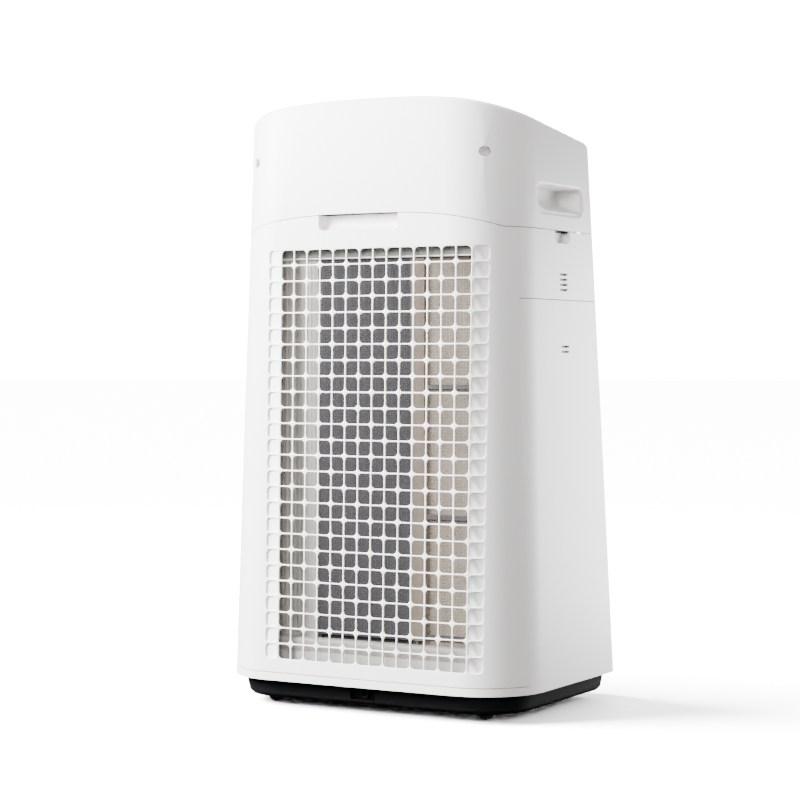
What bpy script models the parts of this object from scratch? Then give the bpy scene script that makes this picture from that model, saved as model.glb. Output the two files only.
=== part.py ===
"""A tower air purifier: tapered white housing, rear grille panel, filters, centrifugal fan, sloping top.

X is the width, +Y the rear (grille) side, -Y the front, +Z up. The origin is under the middle of the base.
Sizes are metres. Every piece is one object, and each moving piece turns or slides about its own origin.
"""

import math

import bmesh
import bpy
import numpy as np
from mathutils import Matrix, Vector

MM = 0.001

# Overall form
HEIGHT = 678 * MM  # highest point, at the rear of the crowned top
BASE_HALF_WIDTH = 193.5 * MM  # at floor level, before the sides lean in
TOP_HALF_WIDTH = 174.7 * MM  # at HEIGHT
BASE_REAR = 138.9 * MM
TOP_REAR = 126.1 * MM
BASE_FRONT = -140 * MM
TOP_FRONT = -99 * MM
REAR_CORNER = 70 * MM
FRONT_CORNER = 30 * MM
REAR_BOW = 2.5 * MM
TOP_FALL = 28.4 * MM  # how much lower the front edge of the top is than its rear edge
CROWN = 15.2 * MM  # fall of the top from its middle to its side edges
CROWN_POWER = 2.65
TOP_EDGE_RADIUS = 5.5 * MM

# Walls and fits
WALL = 2.6 * MM
SEAM = 0.8 * MM  # open line between two housing pieces
FIT = 0.3 * MM  # clearance of a piece that rests on or in another
RUN = 1.0 * MM  # clearance of a piece that moves past another

# Housing splits
BODY_BOTTOM = 30.7 * MM
RIM_TOP = 39.8 * MM  # lower edge of the rear panel
SIDE_SEAM = 533.5 * MM  # lower edge of the upper housing
PANEL_ARCH = 17.5 * MM  # rise of the rear panel's top edge above the side seam
ARCH_HALF = 163 * MM
ARCH_POWER = 3.2
REAR_SPLIT = 90 * MM  # where the rear panel meets the side walls
COVER_BOTTOM = 456.7 * MM
COVER_FRONT = -90 * MM
FRONT_PANEL_HALF = 146 * MM
FRONT_PANEL_BOTTOM = 60 * MM
FRONT_PANEL_TOP = 606 * MM

# Rear grille
GRILLE_MIDDLE = -16.2 * MM
GRILLE_TOP = 513.4 * MM
CELL_WIDTH = 17.1 * MM
CELL_HEIGHT = 17.63 * MM
CELL_COLUMNS = 14
CELL_ROWS = 26
CELLS_PER_HOLE = 2
RIB = 3 * MM
POCKET_MIDDLE = 3.4 * MM
POCKET_WIDTH = 101 * MM
POCKET_HEIGHT = 18 * MM
POCKET_DEPTH = 13 * MM
POCKET_RADIUS = 8 * MM

# Side details
HANDLE_MIDDLE = -3 * MM
HANDLE_HEIGHT = 567.5 * MM
HANDLE_LENGTH = 117 * MM
HANDLE_OPENING = 31 * MM
HANDLE_DEPTH = 34 * MM
HANDLE_RADIUS = 13 * MM
NOTCH_MIDDLE = -7 * MM
NOTCH_WIDTH = 38 * MM
NOTCH_HEIGHT = 14 * MM
NOTCH_DEPTH = 8 * MM
SLOT_MIDDLE = -7.7 * MM
SLOT_LENGTH = 20 * MM
SLOT_HEIGHT = 2.6 * MM
SLOT_PITCH = 5.7 * MM
COVER_SLOT_TOP = 485 * MM
COVER_SLOTS = 4
BODY_SLOT_TOP = 405 * MM
BODY_SLOTS = 2
SCREW_X = 145.6 * MM
SCREW_Z = 613.5 * MM
SCREW_RECESS = 5.5 * MM
SCREW_HEAD = 4.3 * MM
SCREW_SHANK = 2 * MM
SCREW_LENGTH = 14 * MM
HOOK_X = 95 * MM
HOOK_WIDTH = 24 * MM
HOOK_DEPTH = 7 * MM
HOOK_HEIGHT = 12 * MM

# Top: outlet and controls
OUTLET_HALF = 100 * MM
LOUVER_CHORD = 34 * MM
OUTLET_REAR = 92 * MM
LOUVERS = 2
LOUVER_PIN = 2 * MM
LOUVER_GAP = 1.4 * MM
OUTLET_RELIEF = 0.5 * MM  # extra room at the outlet's rear edge for the turning louver
LOUVER_DROP = 10.2 * MM  # from the top's surface down to a louver's axis
FRAME_SIDE = 8 * MM
TOP_ZONE = 90 * MM  # depth below HEIGHT that the cuts in the top reach down to
LOUVER_ZONE = 60 * MM
FRAME_BOTTOM = 632 * MM
VANES = 6
VANE_THICK = 1.6 * MM
VANE_HEIGHT = 8 * MM
PANEL_HALF = 76 * MM
PANEL_DEPTH = 36 * MM
PANEL_FRONT = -66 * MM
BUTTON_RADIUS = 6.5 * MM
BUTTON_PITCH = 22 * MM
BUTTON_PROUD = 0.8 * MM
BUTTON_LENGTH = 6 * MM
BUTTON_TRAVEL = 1.2 * MM
BUTTON_GAP = 0.5 * MM
BUTTON_ROW = 11 * MM  # from the panel's front edge
BOARD_DROP = 11 * MM
BOARD_THICK = 1.6 * MM
BUTTON_NAMES = ("power_button", "mode_button", "speed_button", "timer_button", "lock_button")
WINDOW_HALF = 40 * MM
WINDOW_DEPTH = 8 * MM
WINDOW_ROW = 27 * MM

# Filters and bay
FILTER_BACK = 112 * MM  # face towards the grille
FILTER_THICK = 38 * MM
FILTER_BOTTOM = 46 * MM
FILTER_TOP = 520 * MM
CARBON_LEFT = 65.5 * MM
FILTER_JOINT = -59.5 * MM
HEPA_RIGHT = -140 * MM
FRAME_WALL = 3 * MM
BAR_HEIGHTS = (361 * MM, 219 * MM, 88 * MM)
BAR_HEIGHT = 5 * MM
GUARD_LEFT = 120 * MM
GUARD_SLATS = 5
GUARD_BAR = 3.5 * MM
GUARD_THICK = 6 * MM
CATCH_X = 100 * MM
PARTITION_BACK = 70 * MM
PARTITION_THICK = 3 * MM

# Fan
FAN_HEIGHT = 245 * MM
INLET_RADIUS = 84 * MM
IMPELLER_RADIUS = 98 * MM
IMPELLER_WIDTH = 62 * MM
BLADES = 20
BLADE_LENGTH = 20 * MM
BLADE_THICK = 2 * MM
SCROLL_FRONT = -32 * MM
SCROLL_WALL = 2.5 * MM
TONGUE_RADIUS = 108 * MM
SCROLL_GROWTH = 34 * MM  # how much the scroll widens from the tongue round to the duct
DUCT_BASE = 556 * MM
SHAFT_RADIUS = 4 * MM
SHAFT_REACH = 36 * MM  # from the scroll's wall through the hub and the nut
MOTOR_RADIUS = 42 * MM
MOTOR_LENGTH = 40 * MM
MOTOR_STEP = 14 * MM  # from the scroll's front to the motor
TONGUE_ANGLE = 125
BLADE_LEAN = math.radians(35)
RING_LENGTH = 20 * MM
HUB_RADIUS = 16 * MM
HUB_LENGTH = 24 * MM
PLATE_THICK = 3 * MM
SHROUD_THICK = 4 * MM
NUT_RADIUS = 8 * MM
NUT_LENGTH = 6 * MM
MOTOR_NOSE = 5 * MM
BRACKET_LENGTH = 12 * MM
BRACKET_WALL = 8 * MM

# Base and casters
TRAY_BOTTOM = 9 * MM
TRAY_INSET = 11 * MM
TRAY_BOTTOM_INSET = 19 * MM
TRAY_TOP = 38 * MM
TRAY_WALL = 4 * MM
TRAY_FLOOR = 3 * MM
WHEEL_RADIUS = 10 * MM
WHEEL_WIDTH = 8 * MM
AXLE_RADIUS = 1.5 * MM
WHEEL_X = 135 * MM
WHEEL_Y = 92 * MM
CORD_NOTCH_WIDTH = 32 * MM
CORD_NOTCH_HEIGHT = 14 * MM
CORD_NOTCH_DEPTH = 12 * MM
CORD_NOTCH_BOTTOM = 15 * MM
CORD_RADIUS = 3.5 * MM
AXLE_END = Vector((0, FIT, 0))
CASTERS = ((1, 1), (-1, 1), (1, -1), (-1, -1))

# Power board: its parts are (x, z, wide, tall, deep) in millimetres from its lower edge
POWER_HALF = 62 * MM
POWER_BOTTOM = 52 * MM
POWER_HEIGHT = 48 * MM
POWER_PARTS = ((-54, 6, 30, 26, 20), (-12, 8, 22, 30, 16), (22, 10, 14, 14, 22), (42, 6, 12, 30, 12))

REACH = 0.5  # half size of a cutter that passes the whole object
CORNER_STEPS = 8
STRAIGHT_STEPS = (8, 4, 6, 4)  # rear, -X side, front, +X side
EDGE_STEPS = 3
TOP_RINGS = (0.8, 0.6, 0.4, 0.2)
ARCH_STEPS = 14
SCROLL_STEPS = 22
TOP_SLOPE = TOP_FALL / (TOP_REAR - TOP_FRONT)

MATERIALS = {
    "white_abs": ((0.88, 0.875, 0.865), 0.42, 0.0),
    "black_abs": ((0.028, 0.028, 0.03), 0.5, 0.0),
    "grey_abs": ((0.55, 0.54, 0.52), 0.5, 0.0),
    "beige_media": ((0.72, 0.66, 0.58), 0.9, 0.0),
    "dark_mesh": ((0.2, 0.2, 0.205), 0.85, 0.0),
    "smoked_acrylic": ((0.03, 0.03, 0.035), 0.12, 0.0),
    "steel": ((0.6, 0.6, 0.6), 0.3, 1.0),
    "board": ((0.05, 0.22, 0.1), 0.6, 0.0),
    "rubber": ((0.04, 0.04, 0.04), 0.8, 0.0),
}


def start_scene():
    for obj in list(bpy.data.objects):
        bpy.data.objects.remove(obj, do_unlink=True)
    collections = []
    for name in ("air_purifier", "cutters"):
        collection = bpy.data.collections.new(name)
        bpy.context.scene.collection.children.link(collection)
        collections.append(collection)
    return collections


PARTS, CUTTERS = start_scene()


def material(name):
    found = bpy.data.materials.get(name)
    if found:
        return found
    colour, roughness, metallic = MATERIALS[name]
    made = bpy.data.materials.new(name)
    made.use_nodes = True
    shader = made.node_tree.nodes["Principled BSDF"]
    shader.inputs["Base Color"].default_value = (*colour, 1)
    shader.inputs["Roughness"].default_value = roughness
    shader.inputs["Metallic"].default_value = metallic
    return made


def object_from(name, shape, finish=None):
    """Makes an object from a bmesh. With no finish it is a cutter."""
    bmesh.ops.recalc_face_normals(shape, faces=shape.faces)
    mesh = bpy.data.meshes.new(name)
    shape.to_mesh(mesh)
    shape.free()
    obj = bpy.data.objects.new(name, mesh)
    if finish:
        PARTS.objects.link(obj)
        mesh.materials.append(material(finish))
    else:
        CUTTERS.objects.link(obj)
        obj.hide_render = True
        obj.display_type = "WIRE"
    return obj


def box(name, low, high, finish=None):
    shape = bmesh.new()
    bmesh.ops.create_cube(shape, size=1)
    low, high = Vector(low), Vector(high)
    size = high - low
    bmesh.ops.scale(shape, vec=size, verts=shape.verts)
    obj = object_from(name, shape, finish)
    obj.location = (low + high) / 2
    return obj


def cylinder(name, radius, start, end, finish=None, sides=24, end_radius=None):
    """A round bar from start to end, or a cone frustum where end_radius differs."""
    start, end = Vector(start), Vector(end)
    shape = bmesh.new()
    bmesh.ops.create_cone(
        shape,
        cap_ends=True,
        segments=sides,
        radius1=radius,
        radius2=radius if end_radius is None else end_radius,
        depth=(end - start).length,
    )
    obj = object_from(name, shape, finish)
    obj.rotation_euler = Vector((0, 0, 1)).rotation_difference(end - start).to_euler()
    obj.location = (start + end) / 2
    if finish:
        obj.data.shade_smooth()
        obj.data.set_sharp_from_angle(angle=math.radians(40))
    return obj


def prism(name, outline, axis, low, high, finish=None):
    """A flat outline, as pairs of the two other coordinates in XYZ order, extruded along one axis."""
    order = {"X": (2, 0, 1), "Y": (0, 2, 1), "Z": (0, 1, 2)}[axis]
    shape = bmesh.new()
    corners = [shape.verts.new([(a, b, low)[i] for i in order]) for a, b in outline]
    face = shape.faces.new(corners)
    pushed = bmesh.ops.extrude_face_region(shape, geom=[face])
    travel = Vector([(0, 0, high - low)[i] for i in order])
    moved = [item for item in pushed["geom"] if isinstance(item, bmesh.types.BMVert)]
    bmesh.ops.translate(shape, vec=travel, verts=moved)
    return object_from(name, shape, finish)


def rounded(width, height, radius, middle=(0, 0), steps=5, square_top=False):
    """Outline of a rectangle with round corners; square_top leaves the two upper ones sharp."""
    corners = []
    for turn, (sx, sy) in enumerate(((1, -1), (1, 1), (-1, 1), (-1, -1))):
        if square_top and sy > 0:
            corners.append((middle[0] + sx * width / 2, middle[1] + height / 2))
            continue
        centre = (middle[0] + sx * (width / 2 - radius), middle[1] + sy * (height / 2 - radius))
        for step in range(steps + 1):
            angle = math.pi / 2 * (turn - 1 + step / steps)
            corners.append(
                (centre[0] + radius * math.cos(angle), centre[1] + radius * math.sin(angle))
            )
    return corners


def modify(obj, other, operation="DIFFERENCE"):
    modifier = obj.modifiers.new(operation.lower(), "BOOLEAN")
    modifier.operation = operation
    modifier.object = other
    modifier.solver = "EXACT"
    return obj


def join(obj, *others):
    """Adds closed shapes to a piece. They go to the cutters, as helpers."""
    for other in others:
        modify(obj, other, "UNION")
    return obj


def own_origin(obj, point):
    """Moves an object's origin to a point, such as a joint's axis, and leaves its shape where it is."""
    obj.data.transform(Matrix.Translation(-Vector(point)) @ obj.matrix_basis)
    obj.rotation_euler = (0, 0, 0)
    obj.location = point
    return obj


def ring_of(name, outer, inner, start, end, finish, sides=24):
    """A round collar: a bar with a hole through it."""
    obj = cylinder(name, outer, start, end, finish, sides)
    along = (Vector(end) - Vector(start)).normalized() * MM
    bore_ends = (Vector(start) - along, Vector(end) + along)
    bore = cylinder(name + "_bore", inner, *bore_ends, sides=max(sides, 16))
    return modify(obj, bore)


# ---- Housing form ----


def plan(width, rear, front, inset):
    """Points round the housing's plan, anticlockwise from its +X side, drawn in by an inset."""
    width, rear, front = width - inset, rear - inset, front + inset
    back, nose = REAR_CORNER - inset, FRONT_CORNER - inset
    corners = (
        (width - back, rear - back, back),
        (back - width, rear - back, back),
        (nose - width, front + nose, nose),
        (width - nose, front + nose, nose),
    )
    arcs = []
    for turn, (x, y, radius) in enumerate(corners):
        angles = math.pi / 2 * (turn + np.linspace(0, 1, CORNER_STEPS + 1))
        arcs.append(np.column_stack([x + radius * np.cos(angles), y + radius * np.sin(angles)]))
    stretches = []
    for arc, following, steps in zip(arcs, arcs[1:] + arcs[:1], STRAIGHT_STEPS):
        share = np.linspace(0, 1, steps + 1)[1:-1, None]
        stretches += [arc, arc[-1] * (1 - share) + following[0] * share]
    points = np.concatenate(stretches)
    bow = REAR_BOW * (1 - (points[:, 0] / width) ** 2) * np.clip(points[:, 1] / rear, 0, 1)
    points[:, 1] += bow
    return points


def section(height, inset):
    """The plan at a height, or at one height for each of its points. The sides lean in evenly."""
    low = plan(BASE_HALF_WIDTH, BASE_REAR, BASE_FRONT, inset)
    high = plan(TOP_HALF_WIDTH, TOP_REAR, TOP_FRONT, inset)
    share = np.broadcast_to(np.asarray(height) / HEIGHT, len(low))[:, None]
    return low + (high - low) * share


def side_at(height):
    return BASE_HALF_WIDTH + (TOP_HALF_WIDTH - BASE_HALF_WIDTH) * height / HEIGHT


def rear_at(height):
    return BASE_REAR + (TOP_REAR - BASE_REAR) * height / HEIGHT


def front_at(height):
    return BASE_FRONT + (TOP_FRONT - BASE_FRONT) * height / HEIGHT


def top_surface(x, y):
    """Height of the crowned top, which falls towards the front and towards both sides."""
    crown = CROWN * np.abs(np.asarray(x) / TOP_HALF_WIDTH) ** CROWN_POWER
    return HEIGHT - crown - TOP_SLOPE * (TOP_REAR - y)


def loft(name, rings, finish=None, peak=None):
    """A closed solid through rings of points, flat at the bottom, and flat or peaked at the top."""
    shape = bmesh.new()
    rows = [[shape.verts.new(point) for point in ring] for ring in rings]
    count = len(rows[0])
    shape.faces.new(rows[0][::-1])
    for low, high in zip(rows, rows[1:]):
        for i in range(count):
            j = (i + 1) % count
            shape.faces.new((low[i], low[j], high[j], high[i]))
    if peak is None:
        shape.faces.new(rows[-1])
    else:
        centre = shape.verts.new(peak)
        for i in range(count):
            shape.faces.new((rows[-1][i], rows[-1][(i + 1) % count], centre))
    return object_from(name, shape, finish)


def housing_solid(name, inset=0.0, finish=None, bottom=BODY_BOTTOM):
    """The whole housing as one solid, drawn in by an inset: straight leaning sides and a crowned top."""
    edge = TOP_EDGE_RADIUS - inset
    rings = [np.column_stack([section(bottom, inset), np.full(len(section(0, 0)), bottom)])]
    for angle in np.linspace(0, math.pi / 2, EDGE_STEPS + 1):
        height = np.full(len(rings[0]), HEIGHT)
        for _ in range(3):
            flat = section(height, inset + edge * (1 - math.cos(angle)))
            height = top_surface(flat[:, 0], flat[:, 1]) - inset - edge * (1 - math.sin(angle))
        rings.append(np.column_stack([flat, height]))
    middle = flat.mean(axis=0)
    for share in TOP_RINGS:
        inner = middle + (flat - middle) * share
        height = top_surface(inner[:, 0], inner[:, 1]) - inset
        rings.append(np.column_stack([inner, height]))
    peak = (*middle, top_surface(*middle) - inset)
    obj = loft(name, rings, finish, peak)
    if finish:
        obj.data.shade_smooth()
        obj.data.set_sharp_from_angle(angle=math.radians(30))
    return obj


def arch_points(grow):
    """The rear panel's arched top edge, from -X to +X, moved up by grow."""
    across = np.linspace(-ARCH_HALF, ARCH_HALF, 2 * ARCH_STEPS + 1)
    rise = PANEL_ARCH * (1 - np.abs(across / ARCH_HALF) ** ARCH_POWER)
    return [(x, SIDE_SEAM + z + grow) for x, z in zip(across, rise)]


def upper_region(name, grow):
    level = SIDE_SEAM - grow
    outline = [(-REACH, level), *arch_points(-grow), (REACH, level), (REACH, 1), (-REACH, 1)]
    return prism(name, outline, "Y", -REACH, REACH)


def rear_region(name, grow):
    top, bottom = SIDE_SEAM + grow, RIM_TOP - grow
    outline = [(-REACH, bottom), (-REACH, top), *arch_points(grow), (REACH, top), (REACH, bottom)]
    return prism(name, outline, "Y", REAR_SPLIT - grow, REACH)


def cover_region(name, grow):
    low = (-REACH, COVER_FRONT - grow, COVER_BOTTOM - grow)
    return box(name, low, (-REACH / 5, REAR_SPLIT + grow, SIDE_SEAM + grow))


def front_region(name, grow):
    half = FRONT_PANEL_HALF + grow
    low = (-half, -REACH, FRONT_PANEL_BOTTOM - grow)
    return box(name, low, (half, -REACH / 10, FRONT_PANEL_TOP + grow))


CAVITY = housing_solid("cavity", WALL, bottom=BODY_BOTTOM - RUN)
CORE = housing_solid("core", WALL / 2, bottom=BODY_BOTTOM - RUN)
LINER = housing_solid("liner", WALL + FIT, bottom=BODY_BOTTOM - RUN)


def skin_piece(name, region, finish="white_abs"):
    """The part of the housing's wall that lies in a region."""
    obj = housing_solid(name, finish=finish)
    modify(obj, region, "INTERSECT")
    return modify(obj, CAVITY)


def within_wall(obj, region=None):
    """Trims a helper so that it ends inside the housing's wall."""
    modify(obj, CORE, "INTERSECT")
    if region:
        modify(obj, region, "INTERSECT")
    return obj


def slot_cutters(name, top, count):
    rows = []
    for row in range(count):
        level = top - row * SLOT_PITCH
        low = (-REACH, SLOT_MIDDLE - SLOT_LENGTH / 2, level - SLOT_HEIGHT / 2)
        high = (-REACH / 4, SLOT_MIDDLE + SLOT_LENGTH / 2, level + SLOT_HEIGHT / 2)
        rows.append(box(f"{name}_{row}", low, high))
    return rows


def cut_all(obj, cutters):
    for cutter in cutters:
        modify(obj, cutter)
    return obj


# ---- Housing pieces ----


def handle_outline(grow):
    """The handle's opening as seen from the side, grown all round."""
    size = (HANDLE_LENGTH + 2 * grow, HANDLE_OPENING + 2 * grow)
    return rounded(*size, HANDLE_RADIUS + grow, (HANDLE_MIDDLE, HANDLE_HEIGHT))


def handle_prism(name, side, grow, depth, finish=None):
    """The handle's opening carried inwards to a depth, on the +X (1) or -X (-1) side."""
    ends = sorted((side * (side_at(HANDLE_HEIGHT) - depth), side * REACH))
    return prism(name, handle_outline(grow), "X", *ends, finish)


def handle_cup(name, side):
    """The grip's cup, set into the side of the upper housing."""
    obj = handle_prism(name, side, WALL, HANDLE_DEPTH, "white_abs")
    modify(obj, CORE, "INTERSECT")
    return modify(obj, handle_prism(name + "_space", side, 0, HANDLE_DEPTH - WALL))


def screw_seat(side):
    """How deep the screw's seat lies: far enough in that the whole head clears the rounded corner."""
    return rear_at(SCREW_Z) - REAR_CORNER / 3


def upper_housing():
    obj = skin_piece("upper_housing", upper_region("upper_piece", -SEAM / 2))
    modify(obj, front_region("upper_front_gap", SEAM / 2))
    for side in (1, -1):
        name = "left" if side > 0 else "right"
        modify(obj, handle_prism("handle_opening_" + name, side, WALL + FIT, HANDLE_DEPTH))
        name = "boss_" + name
        seat = screw_seat(side)
        spot = side * SCREW_X
        start = (spot, seat - 3 * WALL, SCREW_Z)
        boss = cylinder(name, SCREW_RECESS + WALL, start, (spot, REACH, SCREW_Z))
        join(obj, within_wall(boss))
        recess = cylinder(name + "_recess", SCREW_RECESS, (spot, seat, SCREW_Z), (spot, REACH, SCREW_Z))
        modify(obj, recess)
        shank, mouth = (spot, seat - 0.1, SCREW_Z), (spot, seat + RUN, SCREW_Z)
        modify(obj, cylinder(name + "_hole", SCREW_SHANK + FIT, shank, mouth, sides=12))
    low = (-OUTLET_HALF, outlet_front(), FRAME_BOTTOM)
    modify(obj, box("outlet_opening", low, (OUTLET_HALF, OUTLET_REAR + OUTLET_RELIEF, 1)))
    half = PANEL_HALF + SEAM / 2
    low = (-half, PANEL_FRONT - SEAM / 2, HEIGHT - TOP_ZONE)
    modify(obj, box("panel_opening", low, (half, PANEL_FRONT + PANEL_DEPTH + SEAM / 2, 1)))
    return obj


def main_housing():
    obj = housing_solid("main_housing", finish="white_abs")
    modify(obj, CAVITY)
    modify(obj, upper_region("main_upper_gap", SEAM / 2))
    modify(obj, rear_region("main_rear_gap", SEAM / 2))
    modify(obj, cover_region("main_cover_gap", SEAM / 2))
    modify(obj, front_region("main_front_gap", SEAM / 2))
    return cut_all(obj, slot_cutters("body_slot", BODY_SLOT_TOP, BODY_SLOTS))


def front_panel():
    return skin_piece("front_panel", front_region("front_piece", -SEAM / 2))


def sensor_cover():
    region = cover_region("cover_piece", -SEAM / 2)
    obj = skin_piece("sensor_cover", region)
    low_edge = SIDE_SEAM - NOTCH_HEIGHT
    depth = side_at(SIDE_SEAM) - NOTCH_DEPTH
    half = NOTCH_WIDTH / 2
    low = (-REACH, NOTCH_MIDDLE - half - WALL, low_edge - WALL)
    high = (-depth + WALL, NOTCH_MIDDLE + half + WALL, SIDE_SEAM - 2 * RUN)
    join(obj, within_wall(box("notch_block", low, high)))
    outline = rounded(
        NOTCH_WIDTH, 2 * NOTCH_HEIGHT, NOTCH_HEIGHT / 2, (NOTCH_MIDDLE, SIDE_SEAM), square_top=True
    )
    modify(obj, prism("notch", outline, "X", -REACH, -depth))
    cut_all(obj, slot_cutters("cover_slot", COVER_SLOT_TOP, COVER_SLOTS))
    return own_origin(obj, (-side_at(COVER_BOTTOM), 0, COVER_BOTTOM + SEAM / 2))


def grille_holes():
    """One cutter of through holes. Each spans a block of the grille's small cells."""
    shape = bmesh.new()
    wide, tall = CELL_WIDTH * CELLS_PER_HOLE, CELL_HEIGHT * CELLS_PER_HOLE
    left = GRILLE_MIDDLE - CELL_WIDTH * CELL_COLUMNS / 2
    for column in range(CELL_COLUMNS // CELLS_PER_HOLE):
        for row in range(CELL_ROWS // CELLS_PER_HOLE):
            made = bmesh.ops.create_cube(shape, size=1)["verts"]
            bmesh.ops.scale(shape, vec=(wide - RIB, REACH - REAR_SPLIT, tall - RIB), verts=made)
            middle = (
                left + (column + 0.5) * wide,
                (REACH + REAR_SPLIT) / 2,
                GRILLE_TOP - (row + 0.5) * tall,
            )
            bmesh.ops.translate(shape, vec=middle, verts=made)
    return object_from("grille_holes", shape)


def pocket_box(name, grow, finish=None):
    """The room that the finger pocket's cup takes at the panel's upper edge, grown all round."""
    edge = SIDE_SEAM + PANEL_ARCH
    half = POCKET_WIDTH / 2 + WALL + grow
    low = (
        POCKET_MIDDLE - half,
        rear_at(edge) - POCKET_DEPTH - WALL - grow,
        edge - POCKET_HEIGHT - WALL - grow,
    )
    return box(name, low, (POCKET_MIDDLE + half, REACH, 1), finish)


def pocket_cup():
    """The finger pocket's cup, fixed into a notch in the panel's upper edge."""
    obj = pocket_box("pocket_cup", 0, "white_abs")
    modify(obj, CORE, "INTERSECT")
    modify(obj, rear_region("pocket_region", -SEAM), "INTERSECT")
    edge = SIDE_SEAM + PANEL_ARCH
    outline = rounded(
        POCKET_WIDTH, 2 * POCKET_HEIGHT, POCKET_RADIUS, (POCKET_MIDDLE, edge), square_top=True
    )
    return modify(obj, prism("pocket", outline, "Y", rear_at(edge) - POCKET_DEPTH, REACH))


def rear_panel():
    region = rear_region("rear_piece", -SEAM / 2)
    obj = skin_piece("rear_panel", region)
    modify(obj, pocket_box("pocket_notch", FIT))
    inner_region = rear_region("hook_region", -SEAM)
    for side in (1, -1):
        spot = side * HOOK_X
        low = (spot - HOOK_WIDTH / 2, rear_at(RIM_TOP) - HOOK_DEPTH, RIM_TOP + RUN)
        high = (spot + HOOK_WIDTH / 2, REACH, RIM_TOP + HOOK_HEIGHT)
        name = "hook_left" if side > 0 else "hook_right"
        join(obj, within_wall(box(name, low, high), inner_region))
    modify(obj, grille_holes())
    triangles = obj.modifiers.new("triangles", "TRIANGULATE")
    triangles.ngon_method = "BEAUTY"
    return own_origin(obj, (0, rear_at(RIM_TOP), RIM_TOP + SEAM / 2))


def rear_screw(name, side):
    spot, seat = side * SCREW_X, screw_seat(side)
    head = cylinder(
        name, SCREW_HEAD, (spot, seat + FIT, SCREW_Z), (spot, seat + FIT + 2.4 * MM, SCREW_Z), "steel"
    )
    start = (spot, seat - SCREW_LENGTH, SCREW_Z)
    join(head, cylinder(name + "_shank", SCREW_SHANK, start, (spot, seat + RUN, SCREW_Z), sides=12))
    for turn, (wide, tall) in enumerate(((5, 1), (1, 5))):
        low = (spot - wide / 2 * MM, seat + 1.5 * MM, SCREW_Z - tall / 2 * MM)
        high = (spot + wide / 2 * MM, seat + 4 * MM, SCREW_Z + tall / 2 * MM)
        modify(head, box(f"{name}_drive_{turn}", low, high))
    return head


# ---- Top: outlet, louvers and controls ----


def outlet_front():
    return OUTLET_REAR - LOUVERS * LOUVER_CHORD - (LOUVERS + 1) * LOUVER_GAP


def louver_middle(index):
    """How far to the rear a louver's axis lies; louver 0 is the front one."""
    return outlet_front() + LOUVER_GAP + LOUVER_CHORD / 2 + index * (LOUVER_CHORD + LOUVER_GAP)


def louver_axis(index):
    y = louver_middle(index)
    return Vector((0, y, float(top_surface(0, y)) - LOUVER_DROP))


def louver(name, index):
    axis = louver_axis(index)
    half = LOUVER_CHORD / 2
    side = OUTLET_HALF - LOUVER_GAP
    region = box(name + "_region", (-side, axis.y - half, HEIGHT - LOUVER_ZONE), (side, axis.y + half, 1))
    obj = skin_piece(name, region)
    for end in (1, -1):
        start = Vector((end * (side - 6 * MM), axis.y, axis.z))
        stop = Vector((end * (OUTLET_HALF + FRAME_SIDE / 2), axis.y, axis.z))
        join(obj, cylinder(f"{name}_pin_{end}", LOUVER_PIN, start, stop, sides=12))
        near, far = sorted((end * (side - 4 * MM), end * (side - FIT)))
        low = (near, axis.y - 5 * MM, axis.z - 4 * MM)
        lug = box(f"{name}_lug_{end}", low, (far, axis.y + 5 * MM, axis.z + LOUVER_DROP))
        join(obj, within_wall(lug))
    return own_origin(obj, axis)


def outlet_frame():
    """Walls round the outlet that carry the louver pins, with fixed vanes below the louvers."""
    side = OUTLET_HALF + FRAME_SIDE
    chord = LOUVER_CHORD / 2
    swing = math.hypot(chord, LOUVER_DROP + TOP_SLOPE * chord)  # of the louver's far corner
    rear = louver_middle(LOUVERS - 1) + swing + RUN / 2
    low = (-side, outlet_front() - FRAME_SIDE, FRAME_BOTTOM)
    obj = box("outlet_frame", low, (side, OUTLET_REAR + FRAME_SIDE, 1), "white_abs")
    modify(obj, LINER, "INTERSECT")
    modify(obj, box("frame_mouth", (-OUTLET_HALF, outlet_front(), 0), (OUTLET_HALF, rear, 1)))
    for index in range(LOUVERS):
        axis = louver_axis(index)
        start, stop = axis.copy(), axis.copy()
        start.x, stop.x = -OUTLET_HALF - FRAME_SIDE - RUN, OUTLET_HALF + FRAME_SIDE + RUN
        modify(obj, cylinder(f"pin_holes_{index}", LOUVER_PIN + FIT, start, stop, sides=12))
    for vane in range(VANES):
        x = OUTLET_HALF * (2 * (vane + 1) / (VANES + 1) - 1)
        low = (x - VANE_THICK / 2, outlet_front() - RUN, FRAME_BOTTOM)
        high = (x + VANE_THICK / 2, rear + RUN, FRAME_BOTTOM + VANE_HEIGHT)
        join(obj, box(f"vane_{vane}", low, high))
    return obj


def panel_normal():
    return Vector((0, -TOP_SLOPE, 1)).normalized()


def button_spot(index):
    x = (index - (len(BUTTON_NAMES) - 1) / 2) * BUTTON_PITCH
    y = PANEL_FRONT + BUTTON_ROW
    return Vector((x, y, float(top_surface(x, y))))


def window_region(name, grow):
    y = PANEL_FRONT + WINDOW_ROW
    low = (-WINDOW_HALF - grow, y - WINDOW_DEPTH / 2 - grow, HEIGHT - TOP_ZONE)
    return box(name, low, (WINDOW_HALF + grow, y + WINDOW_DEPTH / 2 + grow, 1))


def control_panel():
    low = (-PANEL_HALF, PANEL_FRONT, HEIGHT - TOP_ZONE)
    region = box("panel_region", low, (PANEL_HALF, PANEL_FRONT + PANEL_DEPTH, 1))
    obj = skin_piece("control_panel", region, "grey_abs")
    modify(obj, window_region("window_gap", FIT))
    for index, name in enumerate(BUTTON_NAMES):
        spot, normal = button_spot(index), panel_normal()
        start, stop = spot - normal * 0.02, spot + normal * 0.02
        modify(obj, cylinder(name + "_hole", BUTTON_RADIUS + BUTTON_GAP, start, stop))
    return obj


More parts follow.
